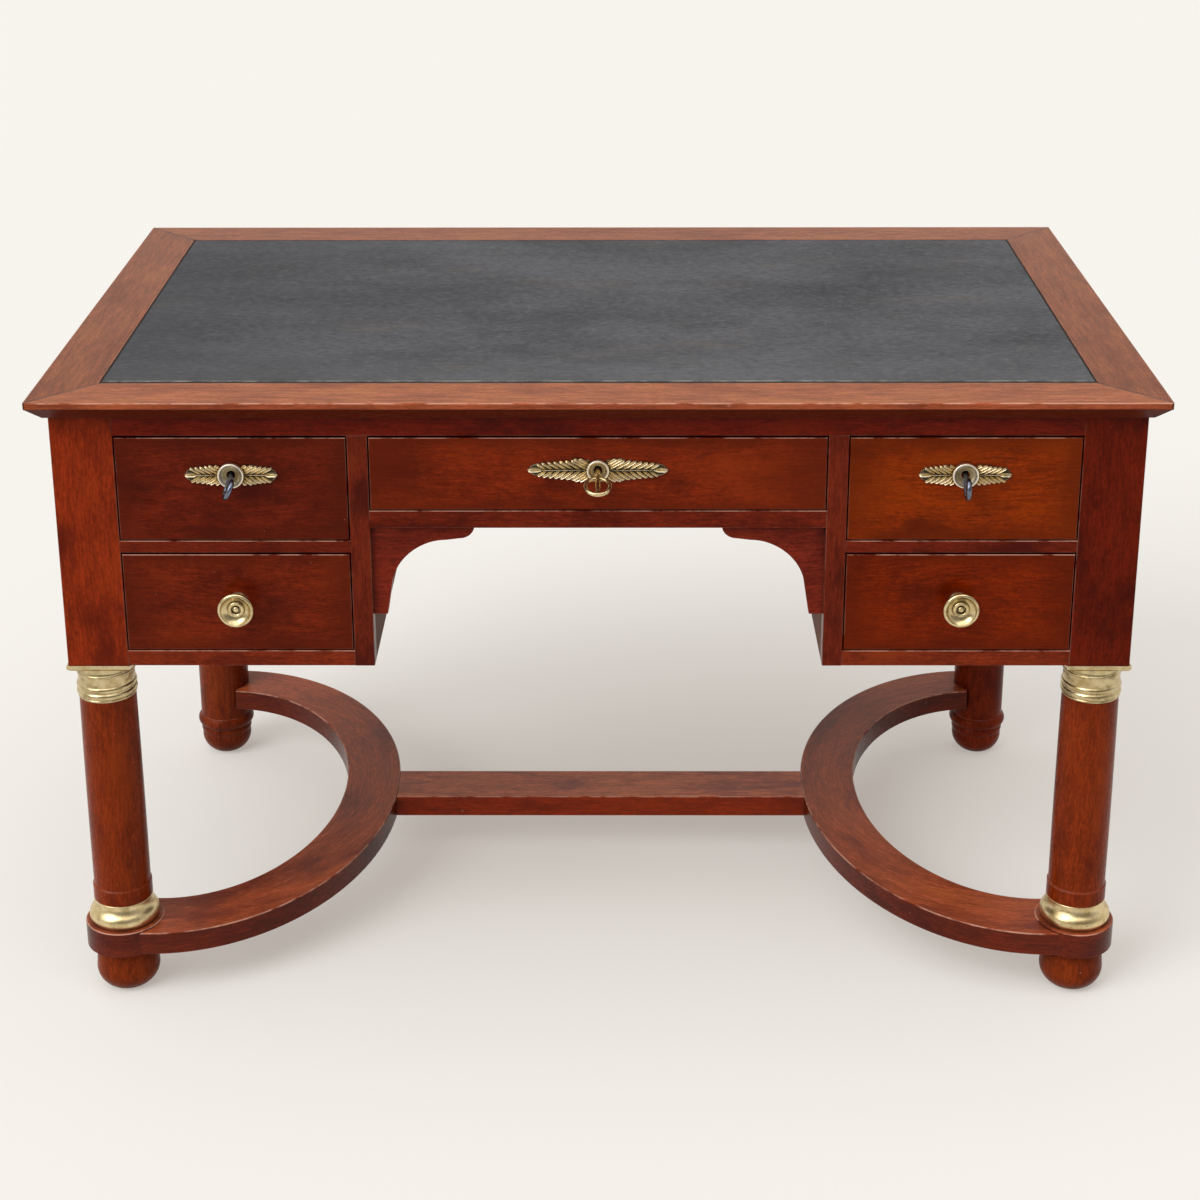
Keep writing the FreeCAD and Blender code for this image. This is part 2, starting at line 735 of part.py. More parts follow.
def make_columns():
    tenon_low = foot_height - foot_tenon_length
    cuff_top = base_ring_end + cuff_height
    shaft_middle = (cuff_top + capital_bottom) / 2
    swell_radius = (column_foot_radius + column_top_radius) / 2 + column_swell
    column = turned((0, tenon_low), ((tenon_radius, tenon_low),), ((tenon_radius, disc_top),),
                    ((column_core_radius, disc_top),), ((column_core_radius, base_ring_end),),
                    ((cuff_radius, base_ring_end),), ((cuff_radius, cuff_top - cuff_step),),
                    ((column_foot_radius, cuff_top),),
                    ((swell_radius, shaft_middle), (column_top_radius, capital_bottom)),
                    ((column_core_radius, capital_bottom),), ((column_core_radius, case_bottom),),
                    ((tenon_radius, case_bottom),), ((tenon_radius, case_bottom + tenon_length),),
                    ((0, case_bottom + tenon_length),))
    save_pair("column", moved(column, leg_x, leg_y, 0))


def make_capitals():
    bore = column_core_radius + sleeve_play
    sleeve_height = capital_height - abacus_height
    steps = []
    for low_share, high_share, swell_share in capital_band_shares:
        low = capital_bottom + sleeve_height * low_share
        high = capital_bottom + sleeve_height * high_share
        steps.append(((capital_radius, low),))
        swelled = capital_radius + capital_swell * swell_share
        steps.append(((swelled, (low + high) / 2), (capital_radius, high)))
    steps = [step for index, step in enumerate(steps) if index == 0 or len(step) > 1
             or step[-1] != steps[index - 1][-1]]
    abacus_low = case_bottom - abacus_height
    sleeve = turned((bore, capital_bottom), *steps, ((capital_radius, abacus_low),),
                    ((bore, abacus_low),))
    half = abacus_width / 2
    abacus = block(-half, half, -half, half, abacus_low, case_bottom)
    abacus = abacus.makeChamfer(abacus_chamfer, edges_at(abacus, height_of, abacus_low))
    abacus = abacus.cut(rod(bore, vec(0, 0, abacus_low - overrun), vec(0, 0, case_bottom + overrun)))
    save_pair("capital", moved(sleeve.fuse(abacus).removeSplitter(), leg_x, leg_y, 0))


def make_base_rings():
    bore = column_core_radius + sleeve_play
    torus_top = disc_top + base_ring_height * base_torus_share
    lip_low = base_ring_end - base_ring_lip
    torus_mid = (disc_top + torus_top) / 2
    lip_hollow = base_ring_top - base_ring_lip / 4
    scotia_radius = lip_hollow + (base_ring_waist - base_ring_top) * base_scotia_share
    ring = turned((bore, disc_top), ((base_ring_foot, disc_top),),
                  ((base_ring_radius, torus_mid), (base_ring_waist + base_ring_lip / 2, torus_top)),
                  ((scotia_radius, (torus_top + lip_low) / 2), (lip_hollow, lip_low)),
                  ((base_ring_top + base_ring_lip / 4, (lip_low + base_ring_end) / 2),
                   (lip_hollow, base_ring_end)),
                  ((bore, base_ring_end),))
    save_pair("base_ring", moved(ring, leg_x, leg_y, 0))


def make_front_feet():
    belly = foot_height * foot_belly_share
    neck_low = foot_height - foot_neck_height
    hole = tenon_radius + tenon_play
    hole_end = foot_height - foot_tenon_length - tenon_end_gap
    round_radius = foot_flat_radius + (foot_radius - foot_flat_radius) * foot_round_share
    shoulder = (foot_radius + foot_neck_radius) / 2 + (foot_radius - foot_neck_radius) / 4
    foot = turned((0, 0), ((foot_flat_radius, 0),),
                  ((round_radius, belly * (1 - foot_round_share)), (foot_radius, belly)),
                  ((shoulder, (belly + neck_low) / 2), (foot_neck_radius, neck_low)),
                  ((foot_neck_radius, foot_height),), ((hole, foot_height),), ((hole, hole_end),),
                  ((0, hole_end),))
    save("front_feet", *both_sides(moved(foot, leg_x, leg_y, 0)))


def make_rear_legs():
    ring_top = rear_foot_height + rear_ring_height
    torus_low = ring_top - rear_ring_height * rear_ring_torus_share
    step_radius = rear_foot_radius + (rear_ring_radius - rear_foot_radius) * rear_step_share
    round_radius = rear_foot_flat_radius + (rear_foot_radius - rear_foot_flat_radius) * foot_round_share
    straight_top = board_top + stretcher_rise + stretcher_thickness
    leg = turned((0, 0), ((rear_foot_flat_radius, 0),),
                 ((round_radius, rear_foot_height * (1 - foot_round_share)),
                  (rear_foot_radius, rear_foot_height)),
                 ((step_radius, (rear_foot_height + torus_low) / 2), (rear_foot_radius, torus_low)),
                 ((rear_ring_radius, (torus_low + ring_top) / 2), (rear_leg_radius, ring_top)),
                 ((rear_leg_radius, straight_top),), ((rear_leg_top_radius, case_bottom),),
                 ((tenon_radius, case_bottom),), ((tenon_radius, case_bottom + tenon_length),),
                 ((0, case_bottom + tenon_length),))
    leg = moved(leg, rear_leg_x, rear_leg_y, 0)
    save_pair("rear_leg", leg.cut(leg_tenon(leg_tenon_radius + tenon_play, tenon_end_gap)))


# Floor stretchers

def tilted(shape):
    # Stretchers and cross bar are drawn level and then raised at the back, about the disc's middle.
    return shape.rotated(vec(0, leg_y, board_middle), along_x, stretcher_tilt)


def leg_tenon(radius, spare):
    # The round tenon that joins a stretcher to its rear leg, along X from inside the stretcher.
    height = board_middle + stretcher_rise
    face_x = rear_leg_x - rear_leg_radius
    start = vec(face_x - leg_tenon_length, rear_leg_y, height)
    end = vec(face_x + leg_tenon_length + spare, rear_leg_y, height)
    return rod(radius, start, end)


def bar_tenon(spare):
    # The flat tenon on one end of the cross bar.
    half = bar_tenon_width / 2 + spare
    thick = bar_tenon_thickness / 2 + spare
    end = crown_x + bar_tenon_length + spare
    return block(crown_x - cross_bar_scribe, end, stretcher_mid_y - half, stretcher_mid_y + half,
                 board_middle - thick, board_middle + thick)


def stretcher_board():
    # The right-hand board: outer and inner curves of two quarter ellipses each.
    curve_x = leg_x - stretcher_straight
    inner_crown = crown_x + stretcher_crown_width

    def place(x, y):
        return vec(x, y, board_low)

    front_outer = leg_y - stretcher_front_width / 2
    front_inner_y = leg_y + stretcher_front_width / 2
    rear_outer = rear_leg_y + stretcher_rear_width / 2
    rear_inner = rear_leg_y - stretcher_rear_width / 2
    edges = [Part.makeLine(place(leg_x, front_outer), place(curve_x, front_outer)),
             quarter(place(curve_x, front_outer), place(crown_x, front_outer),
                     place(crown_x, stretcher_mid_y)),
             quarter(place(crown_x, stretcher_mid_y), place(crown_x, rear_outer),
                     place(curve_x, rear_outer)),
             Part.makeLine(place(curve_x, rear_outer), place(rear_leg_x, rear_outer)),
             Part.makeLine(place(rear_leg_x, rear_outer), place(rear_leg_x, rear_inner)),
             Part.makeLine(place(rear_leg_x, rear_inner), place(curve_x, rear_inner)),
             quarter(place(curve_x, rear_inner), place(inner_crown, rear_inner),
                     place(inner_crown, stretcher_mid_y)),
             quarter(place(inner_crown, stretcher_mid_y), place(inner_crown, front_inner_y),
                     place(curve_x, front_inner_y)),
             Part.makeLine(place(curve_x, front_inner_y), place(leg_x, front_inner_y)),
             Part.makeLine(place(leg_x, front_inner_y), place(leg_x, front_outer))]
    return Part.Face(Part.Wire(edges)).extrude(along_z * stretcher_thickness)


def make_stretchers():
    board = stretcher_board()
    bar_y_low = stretcher_mid_y - cross_bar_width / 2
    bar_y_high = stretcher_mid_y + cross_bar_width / 2
    bar_end = crown_x + cross_bar_scribe
    bar = block(-bar_end, bar_end, bar_y_low, bar_y_high, board_low, board_top)
    scribe = moved(board, -sleeve_play, 0, 0)
    bar = bar.cut(scribe).cut(mirrored(scribe))
    long_edges = [edge for edge in edges_at(bar, height_of, board_top)
                  if edge.Vertexes[0].Y == edge.Vertexes[1].Y]
    bar = bar.makeFillet(stretcher_arris, long_edges)
    tenon = bar_tenon(0)
    save("cross_bar", tilted(bar.fuse([tenon, mirrored(tenon)]).removeSplitter()))

    leg_space = rod(rear_leg_radius + sleeve_play, vec(rear_leg_x, rear_leg_y, 0),
                    vec(rear_leg_x, rear_leg_y, case_bottom))
    hole = rod(tenon_radius + tenon_play, vec(leg_x, leg_y, foot_height - overrun),
               vec(leg_x, leg_y, disc_top + overrun))
    disc = rod(disc_radius, vec(leg_x, leg_y, foot_height), vec(leg_x, leg_y, disc_top))
    disc = disc.makeFillet(stretcher_arris, edges_at(disc, height_of, disc_top))
    rounded = board.makeFillet(stretcher_arris, edges_at(board, height_of, board_top))
    sawn_off = block(rear_leg_x - stretcher_end_inset, rear_leg_x + overrun,
                     rear_leg_y - stretcher_rear_width, rear_leg_y + stretcher_rear_width,
                     0, case_bottom)
    stretcher = tilted(rounded.cut(bar_tenon(tenon_play))).cut([leg_space, sawn_off])
    stretcher = stretcher.fuse([disc, leg_tenon(leg_tenon_radius, 0)]).cut(hole).removeSplitter()
    save_pair("stretcher", stretcher)


os.makedirs("parts", exist_ok=True)
make_top()
make_case()
make_brackets()
make_runners()
make_drawers()
make_locks()
make_keys()
make_escutcheons()
make_columns()
make_capitals()
make_base_rings()
make_front_feet()
make_rear_legs()
make_stretchers()
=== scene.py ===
import bpy
import bmesh
import math
from mathutils import Matrix, Vector


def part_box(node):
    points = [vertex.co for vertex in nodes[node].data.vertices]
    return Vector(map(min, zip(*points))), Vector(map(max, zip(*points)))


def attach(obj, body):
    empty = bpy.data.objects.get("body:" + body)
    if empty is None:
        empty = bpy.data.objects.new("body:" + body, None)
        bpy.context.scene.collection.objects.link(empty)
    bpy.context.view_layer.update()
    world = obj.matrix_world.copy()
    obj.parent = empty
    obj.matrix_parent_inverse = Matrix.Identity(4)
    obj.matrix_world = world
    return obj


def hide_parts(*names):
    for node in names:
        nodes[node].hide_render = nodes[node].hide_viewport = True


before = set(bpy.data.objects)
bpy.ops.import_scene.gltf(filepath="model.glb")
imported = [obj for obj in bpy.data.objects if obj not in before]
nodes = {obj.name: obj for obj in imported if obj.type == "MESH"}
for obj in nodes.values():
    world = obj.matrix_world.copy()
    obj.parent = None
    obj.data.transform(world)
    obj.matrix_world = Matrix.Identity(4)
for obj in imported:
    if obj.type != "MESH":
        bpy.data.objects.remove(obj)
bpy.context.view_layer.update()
print("frame loaded,", len(nodes), "nodes")


# small helpers for node trees

def put(tree, kind, **settings):
    made = tree.nodes.new(kind)
    for name, value in settings.items():
        setattr(made, name, value)
    return made


def feed(tree, socket, value):
    if isinstance(value, bpy.types.NodeSocket):
        tree.links.new(value, socket)
    else:
        socket.default_value = value


def calc(tree, operation, first, second=0.0, third=0.0):
    made = put(tree, "ShaderNodeMath", operation=operation)
    for socket, value in zip(made.inputs, (first, second, third)):
        feed(tree, socket, value)
    return made.outputs[0]


def times(tree, first, second):
    return calc(tree, "MULTIPLY", first, second)


def dot(tree, first, second):
    made = put(tree, "ShaderNodeVectorMath", operation="DOT_PRODUCT")
    feed(tree, made.inputs[0], first)
    feed(tree, made.inputs[1], second)
    return made.outputs["Value"]


def split(tree, vector):
    made = put(tree, "ShaderNodeSeparateXYZ")
    feed(tree, made.inputs[0], vector)
    return made.outputs


def join(tree, values):
    made = put(tree, "ShaderNodeCombineXYZ")
    for socket, value in zip(made.inputs, values):
        feed(tree, socket, value)
    return made.outputs[0]


def spread(tree, value, low, high, outLow=0.0, outHigh=1.0):
    # an eased change from outLow to outHigh while the value goes from low to high
    made = put(tree, "ShaderNodeMapRange", interpolation_type="SMOOTHSTEP")
    feed(tree, made.inputs["Value"], value)
    for label, number in zip(("From Min", "From Max", "To Min", "To Max"), (low, high, outLow, outHigh)):
        feed(tree, made.inputs[label], number)
    return made.outputs["Result"]


def mixColour(tree, factor, first, second):
    made = put(tree, "ShaderNodeMix", data_type="RGBA", blend_type="MIX")
    feed(tree, made.inputs[0], factor)
    feed(tree, made.inputs[6], first)
    feed(tree, made.inputs[7], second if isinstance(second, bpy.types.NodeSocket) else (*second, 1))
    return made.outputs[2]


def stretch(tree, vector, amounts):
    made = put(tree, "ShaderNodeVectorMath", operation="MULTIPLY")
    feed(tree, made.inputs[0], vector)
    feed(tree, made.inputs[1], amounts)
    return made.outputs[0]


def cloud(tree, vector, scale=1.0, detail=2.0, roughness=0.5, drawn=None):
    # noise, drawn out by an amount for each axis where these are given
    made = put(tree, "ShaderNodeTexNoise")
    feed(tree, made.inputs["Vector"], stretch(tree, vector, drawn) if drawn else vector)
    for label, number in (("Scale", scale), ("Detail", detail), ("Roughness", roughness)):
        made.inputs[label].default_value = number
    return made.outputs["Fac"]


def ramp(tree, value, stops):
    made = put(tree, "ShaderNodeValToRGB")
    feed(tree, made.inputs["Fac"], value)
    elements = made.color_ramp.elements
    while len(elements) < len(stops):
        elements.new(0.5)
    for element, (position, colour) in zip(elements, stops):
        element.position = position
        element.color = (*colour, 1)
    return made.outputs["Color"]


def newGroup(name, inputs, outputs):
    tree = bpy.data.node_groups.new(name, "ShaderNodeTree")
    for label, kind, value in inputs:
        socket = tree.interface.new_socket(label, in_out="INPUT", socket_type="NodeSocket" + kind)
        if value is not None:
            socket.default_value = value
    for label in outputs:
        tree.interface.new_socket(label, in_out="OUTPUT", socket_type="NodeSocketFloat")
    return tree, put(tree, "NodeGroupInput").outputs, put(tree, "NodeGroupOutput").inputs


def useGroup(tree, group, **values):
    made = put(tree, "ShaderNodeGroup", node_tree=group)
    for label, value in values.items():
        feed(tree, made.inputs[label], value)
    return made.outputs


# effects shared by several finishes

grainEffect = {
    "seedSteps": (3.71, 1.37, 2.19),  # each board comes from another place in the log
    "bendDrawn": (2.2, 5.0, 5.0), "bendScale": 1.0, "bendReach": (0.0, 0.05, 0.05), "ribbonShare": 0.35,
    "fibre": {"drawn": (34.0, 430.0, 430.0), "detail": 5.0, "roughness": 0.7},
    "ribbon": {"drawn": (20.0, 85.0, 85.0), "detail": 4.0, "roughness": 0.6},
    "patina": {"drawn": (8.5, 13.0, 13.0), "detail": 7.0, "roughness": 0.66},
    "flecks": {"drawn": (150.0, 420.0, 420.0), "detail": 3.0, "roughness": 0.7},
    "dashes": {"drawn": (48.0, 520.0, 520.0), "detail": 2.0, "roughness": 0.5},
    "pricks": {"drawn": (130.0, 1500.0, 1500.0), "detail": 2.0, "roughness": 0.6},
    "dashRange": (0.56, 0.70), "prickRange": (0.55, 0.68), "figureRange": (0.30, 0.70),
    "fleckShare": 0.45, "fibreShare": 0.55, "ribbonMiddle": 0.5, "poreDepth": -0.6,
}


def makeGrainGroup():
    # grain runs along the vector's X
    look = grainEffect
    tree, given, out = newGroup("mahoganyGrain",
                                [("Vector", "Vector", None), ("Seed", "Float", 0.0),
                                 ("Ribbon", "Float", look["ribbonShare"])],
                                ["Figure", "Patina", "Pores", "Relief"])
    moved = put(tree, "ShaderNodeVectorMath", operation="ADD")
    feed(tree, moved.inputs[0], given["Vector"])
    shift = [times(tree, given["Seed"], step) for step in look["seedSteps"]]
    feed(tree, moved.inputs[1], join(tree, shift))
    bend = put(tree, "ShaderNodeTexNoise")
    feed(tree, bend.inputs["Vector"], stretch(tree, moved.outputs[0], look["bendDrawn"]))
    bend.inputs["Scale"].default_value = look["bendScale"]
    wander = put(tree, "ShaderNodeVectorMath", operation="MULTIPLY_ADD")
    feed(tree, wander.inputs[0], bend.outputs["Color"])
    feed(tree, wander.inputs[1], look["bendReach"])
    feed(tree, wander.inputs[2], moved.outputs[0])
    layers = ("fibre", "ribbon", "patina", "flecks", "dashes", "pricks")
    fibre, ribbon, patina, flecks, dashes, pricks = [cloud(tree, wander.outputs[0], **look[layer])
                                                     for layer in layers]
    pores = calc(tree, "MAXIMUM", spread(tree, dashes, *look["dashRange"]),
                 spread(tree, pricks, *look["prickRange"]))
    body = calc(tree, "MULTIPLY_ADD", flecks, look["fleckShare"], times(tree, fibre, look["fibreShare"]))
    leaning = calc(tree, "SUBTRACT", ribbon, look["ribbonMiddle"])
    figure = calc(tree, "MULTIPLY_ADD", leaning, given["Ribbon"], body)
    feed(tree, out["Figure"], spread(tree, figure, *look["figureRange"]))
    feed(tree, out["Patina"], patina)
    feed(tree, out["Pores"], pores)
    feed(tree, out["Relief"], calc(tree, "MULTIPLY_ADD", pores, look["poreDepth"], fibre))
    return tree


arrisEffect = {
    "samples": 4, "width": 0.002, "hollowReach": 0.004,
    "turnRange": (0.02, 0.14), "leavingRange": (0.10, 0.35), "flatRange": (0.94, 0.99, 1.0, 0.0),
    "outerRange": (0.5, 0.85), "rubbedRange": (0.36, 0.58),
    "rubbing": {"scale": 30.0, "detail": 4.0, "roughness": 0.65},
}


def makeArrisGroup():
    # bright on outer edges, broken up as by rubbing: wear, and painted highlight; Face is the direction of
    # the side that shows
    look = arrisEffect
    tree, given, out = newGroup("wornAndHighlightArris", [("Width", "Float", look["width"]), ("Vector", "Vector", None),
                                              ("Face", "Vector", None)], ["Mask"])
    rounded = put(tree, "ShaderNodeBevel", samples=look["samples"])
    feed(tree, rounded.inputs["Radius"], given["Width"])
    normal = put(tree, "ShaderNodeNewGeometry").outputs["Normal"]
    flatness = dot(tree, rounded.outputs["Normal"], normal)
    turn = spread(tree, calc(tree, "SUBTRACT", 1.0, flatness), *look["turnRange"])
    showing = dot(tree, normal, given["Face"])
    leaving = spread(tree, showing, *look["leavingRange"])
    eased = times(tree, leaving, spread(tree, showing, *look["flatRange"]))
    closed = put(tree, "ShaderNodeAmbientOcclusion", samples=look["samples"], only_local=True)
    closed.inputs["Distance"].default_value = look["hollowReach"]
    outer = spread(tree, closed.outputs["AO"], *look["outerRange"])
    rubbed = spread(tree, cloud(tree, given["Vector"], **look["rubbing"]), *look["rubbedRange"])
    edge = times(tree, calc(tree, "MAXIMUM", turn, eased), outer)
    feed(tree, out["Mask"], times(tree, edge, rubbed))
    return tree


grimeAndShadeEffect = {
    "samples": 6, "reach": 0.02, "depthRange": (0.2, 0.85), "patchRange": (0.25, 0.7, 0.55, 1.0),
    "patches": {"scale": 26.0, "detail": 3.0, "roughness": 0.6},
}


def makeGrimeAndShadeGroup():
    # dark where faces close in on each other: grime there, and painted shade
    look = grimeAndShadeEffect
    tree, given, out = newGroup("cornerGrimeAndShade", [("Reach", "Float", look["reach"]),
                                                ("Vector", "Vector", None)], ["Mask"])
    closed = put(tree, "ShaderNodeAmbientOcclusion", samples=look["samples"])
    feed(tree, closed.inputs["Distance"], given["Reach"])
    depth = spread(tree, calc(tree, "SUBTRACT", 1.0, closed.outputs["AO"]), *look["depthRange"])
    patchy = spread(tree, cloud(tree, given["Vector"], **look["patches"]), *look["patchRange"])
    feed(tree, out["Mask"], times(tree, depth, patchy))
    return tree


marksEffect = {
    "density": 0.5, "lineRange": (0.74, 0.8), "whereRange": (0.2, 0.36), "spotRange": (0.75, 0.79),
    "alongLines": {"drawn": (26.0, 620.0, 26.0), "detail": 1.0, "roughness": 0.4},
    "acrossLines": {"drawn": (510.0, 31.0, 31.0), "detail": 1.0, "roughness": 0.4},
    "patches": {"scale": 9.0, "detail": 2.0, "roughness": 0.5},
    "spots": {"scale": 150.0, "detail": 2.0, "roughness": 0.5},
}


def makeMarksGroup():
    # thin short marks in two directions, and small rubbed spots
    look = marksEffect
    tree, given, out = newGroup("handMarks", [("Vector", "Vector", None),
                                              ("Density", "Float", look["density"])], ["Mask"])
    along, across, patchy, spots = [cloud(tree, given["Vector"], **look[layer])
                                    for layer in ("alongLines", "acrossLines", "patches", "spots")]
    lines = spread(tree, calc(tree, "MAXIMUM", along, across), *look["lineRange"])
    where = spread(tree, times(tree, patchy, given["Density"]), *look["whereRange"])
    dots = spread(tree, spots, *look["spotRange"])
    feed(tree, out["Mask"], calc(tree, "MAXIMUM", times(tree, lines, where), dots))
    return tree


grainGroup = makeGrainGroup()
arrisGroup = makeArrisGroup()
grimeAndShadeGroup = makeGrimeAndShadeGroup()
marksGroup = makeMarksGroup()
print("shared effects made")


# finishes

def newFinish(name):
    made = bpy.data.materials.new(name)
    made.use_nodes = True
    tree = made.node_tree
    return made, tree, tree.nodes["Principled BSDF"]


def objectPlace(tree):
    return put(tree, "ShaderNodeTexCoord").outputs["Object"]


def bumped(tree, shader, height, strength, depth):
    made = put(tree, "ShaderNodeBump")
    made.inputs["Strength"].default_value = strength
    made.inputs["Distance"].default_value = depth
    feed(tree, made.inputs["Height"], height)
    feed(tree, shader.inputs["Normal"], made.outputs["Normal"])


turned = (0.0, 0.0, 0.0)  # turned pieces have no show face
forward = (0.0, -1.0, 0.0)
upward = (0.0, 0.0, 1.0)

polish = {  # what all the wood shares, unless a finish below says otherwise
    "specular": 0.06, "glossy": 0.24, "dull": 0.44, "figureDull": 0.35, "wearDull": 0.65,
    "deepShare": 0.56, "brightShare": 1.42, "figureStops": (0.05, 0.5, 0.95),
    "grainScale": (1.0, 1.0, 1.0), "ribbon": 0.3, "pores": 0.4, "bump": 0.2, "bumpDepth": 0.0004,
    "cloudDark": 0.95, "cloudDeep": (0.44, 0.38, 0.55), "darkRange": (0.32, 0.52),
    "cloudWarm": 0.7, "cloudBright": (1.35, 1.6, 1.2), "warmRange": (0.50, 0.70),
    "fadedAndLit": None, "upRange": (0.6, 0.95), "under": None, "downRange": (-0.15, -0.5),
    "wearAndHighlight": 0.9, "worn": (0.66, 0.34, 0.245), "wearAndHighlightWidth": 0.0015, "upperEdgeHighlight": (0.0, 0.5, 0.2, 1.0),
    "grimeAndShade": 0.75, "grimeAndShadeReach": 0.014, "grimeAndShadeTone": (0.012, 0.004, 0.003),
    "marks": 0.35, "markShare": 0.35, "face": forward,
    "border": 0.0, "mitre": 0.0, "mitreRange": (0.0014, 0.0038, 0.85, 0.0),
    "mitreTone": (0.045, 0.012, 0.006),
}
boardEdge = {"noise": {"scale": 12.0, "detail": 3.0, "roughness": 0.6}, "noiseShare": 0.5,
             "noiseBack": -0.25, "wobbleShare": 0.5, "middle": 0.5, "range": (0.28, 0.52)}


def grainVector(tree, where, axis, bow):
    # turns the place so that the grain runs along X; "U" follows the bow of a stretcher
    x, y, z = split(tree, where)
    if axis == "U":
        across = calc(tree, "SUBTRACT", calc(tree, "ABSOLUTE", x), bow["centreX"])
        along = calc(tree, "SUBTRACT", y, bow["centreY"])
        angle = calc(tree, "ARCTAN2", along, times(tree, across, -1.0))
        reach = calc(tree, "SQRT", calc(tree, "MULTIPLY_ADD", across, across, times(tree, along, along)))
        return join(tree, (times(tree, angle, bow["reach"]), reach, z))
    return join(tree, {"X": (x, y, z), "Y": (y, x, z), "Z": (z, x, y)}[axis])


def edgeShadeMask(tree, where):
    # a board is darker towards its edges: painted shade
    share = split(tree, put(tree, "ShaderNodeTexCoord").outputs["Generated"])
    noise = cloud(tree, where, **boardEdge["noise"])
    wobble = calc(tree, "MULTIPLY_ADD", noise, boardEdge["noiseShare"], boardEdge["noiseBack"])
    edges = []
    for direction in ("X", "Z"):
        middle = calc(tree, "ABSOLUTE", calc(tree, "SUBTRACT", share[direction], boardEdge["middle"]))
        edges.append(calc(tree, "ADD", middle, times(tree, wobble, boardEdge["wobbleShare"])))
    return spread(tree, calc(tree, "MAXIMUM", *edges), *boardEdge["range"])


def mitreMask(tree, where, wood):
    # the thin dark joint where two rim boards meet
    place = split(tree, where)
    x, y = [calc(tree, "ABSOLUTE", place[direction]) for direction in ("X", "Y")]
    away = calc(tree, "ABSOLUTE", calc(tree, "SUBTRACT", calc(tree, "SUBTRACT", x, y), wood["mitre"]))
    return spread(tree, away, *wood["mitreRange"])


def tinted(tone, shares):
    return tuple(value * share for value, share in zip(tone, shares))


def figured(tree, wood, tone, grain):
    # the wood's figure, with purplish dark clouds and warm rubbed ones in its old polish
    shares = (wood["deepShare"], 1.0, wood["brightShare"])
    tones = [tinted(tone, (share, share, share)) for share in shares]
    colour = ramp(tree, grain["Figure"], tuple(zip(wood["figureStops"], tones)))
    dark = spread(tree, grain["Patina"], *wood["darkRange"], wood["cloudDark"], 0.0)
    colour = mixColour(tree, dark, colour, tinted(tone, wood["cloudDeep"]))
    warm = spread(tree, grain["Patina"], *wood["warmRange"], 0.0, wood["cloudWarm"])
    return mixColour(tree, warm, colour, tinted(tone, wood["cloudBright"]))


def mahogany(changes):
    wood = {**polish, **changes}
    made, tree, shader = newFinish(wood["name"])
    where = objectPlace(tree)
    seed = put(tree, "ShaderNodeObjectInfo").outputs["Object Index"]
    along = stretch(tree, grainVector(tree, where, wood["axis"], wood.get("bow")), wood["grainScale"])
    grain = useGroup(tree, grainGroup, Vector=along, Seed=seed, Ribbon=wood["ribbon"])
    height = split(tree, put(tree, "ShaderNodeNewGeometry").outputs["Normal"])["Z"]
    colour = figured(tree, wood, wood["tone"], grain)
    # up-facing faces take a paler tone: partly real fading of the polish, partly painted light from above
    if wood["fadedAndLit"]:
        bleachedAndLit = figured(tree, wood, wood["fadedAndLit"], grain)
        colour = mixColour(tree, spread(tree, height, *wood["upRange"]), colour, bleachedAndLit)
    # down-facing faces take a darker tone: painted shade
    if wood["under"]:
        colour = mixColour(tree, spread(tree, height, *wood["downRange"]), colour, wood["under"])
    deep = tinted(wood["tone"], (wood["deepShare"], wood["deepShare"], wood["deepShare"]))
    colour = mixColour(tree, times(tree, grain["Pores"], wood["pores"]), colour, deep)
    # the border mix darkens the board towards its edges: painted shade
    if wood["border"]:
        colour = mixColour(tree, times(tree, edgeShadeMask(tree, where), wood["border"]), colour, deep)
    if wood["mitre"]:
        colour = mixColour(tree, mitreMask(tree, where, wood), colour, wood["mitreTone"])
    # corners and gaps darken towards the grime tone: dirt, and painted shade
    grimeAndShade = useGroup(tree, grimeAndShadeGroup, Reach=wood["grimeAndShadeReach"], Vector=where)["Mask"]
    colour = mixColour(tree, times(tree, grimeAndShade, wood["grimeAndShade"]), colour, wood["grimeAndShadeTone"])
    arris = useGroup(tree, arrisGroup, Width=wood["wearAndHighlightWidth"], Vector=where, Face=wood["face"])["Mask"]
    arris = times(tree, arris, spread(tree, height, *wood["upperEdgeHighlight"]))  # upper edges lighter: painted highlight where light from above catches them
    # edges take the worn tone: wear, and painted highlight
    colour = mixColour(tree, times(tree, arris, wood["wearAndHighlight"]), colour, wood["worn"])
    marks = useGroup(tree, marksGroup, Vector=where, Density=wood["marks"])["Mask"]
    colour = mixColour(tree, times(tree, marks, wood["markShare"]), colour, wood["worn"])
    feed(tree, shader.inputs["Base Color"], colour)
    dulled = calc(tree, "MAXIMUM", calc(tree, "MAXIMUM", arris, grimeAndShade), marks)
    rubbed = times(tree, dulled, wood["wearDull"])
    uneven = calc(tree, "MULTIPLY_ADD", grain["Figure"], wood["figureDull"], rubbed)
    feed(tree, shader.inputs["Roughness"], spread(tree, uneven, 0.0, 1.0, wood["glossy"], wood["dull"]))
    shader.inputs["Specular IOR Level"].default_value = wood["specular"]
    bumped(tree, shader, grain["Relief"], wood["bump"], wood["bumpDepth"])
    return made


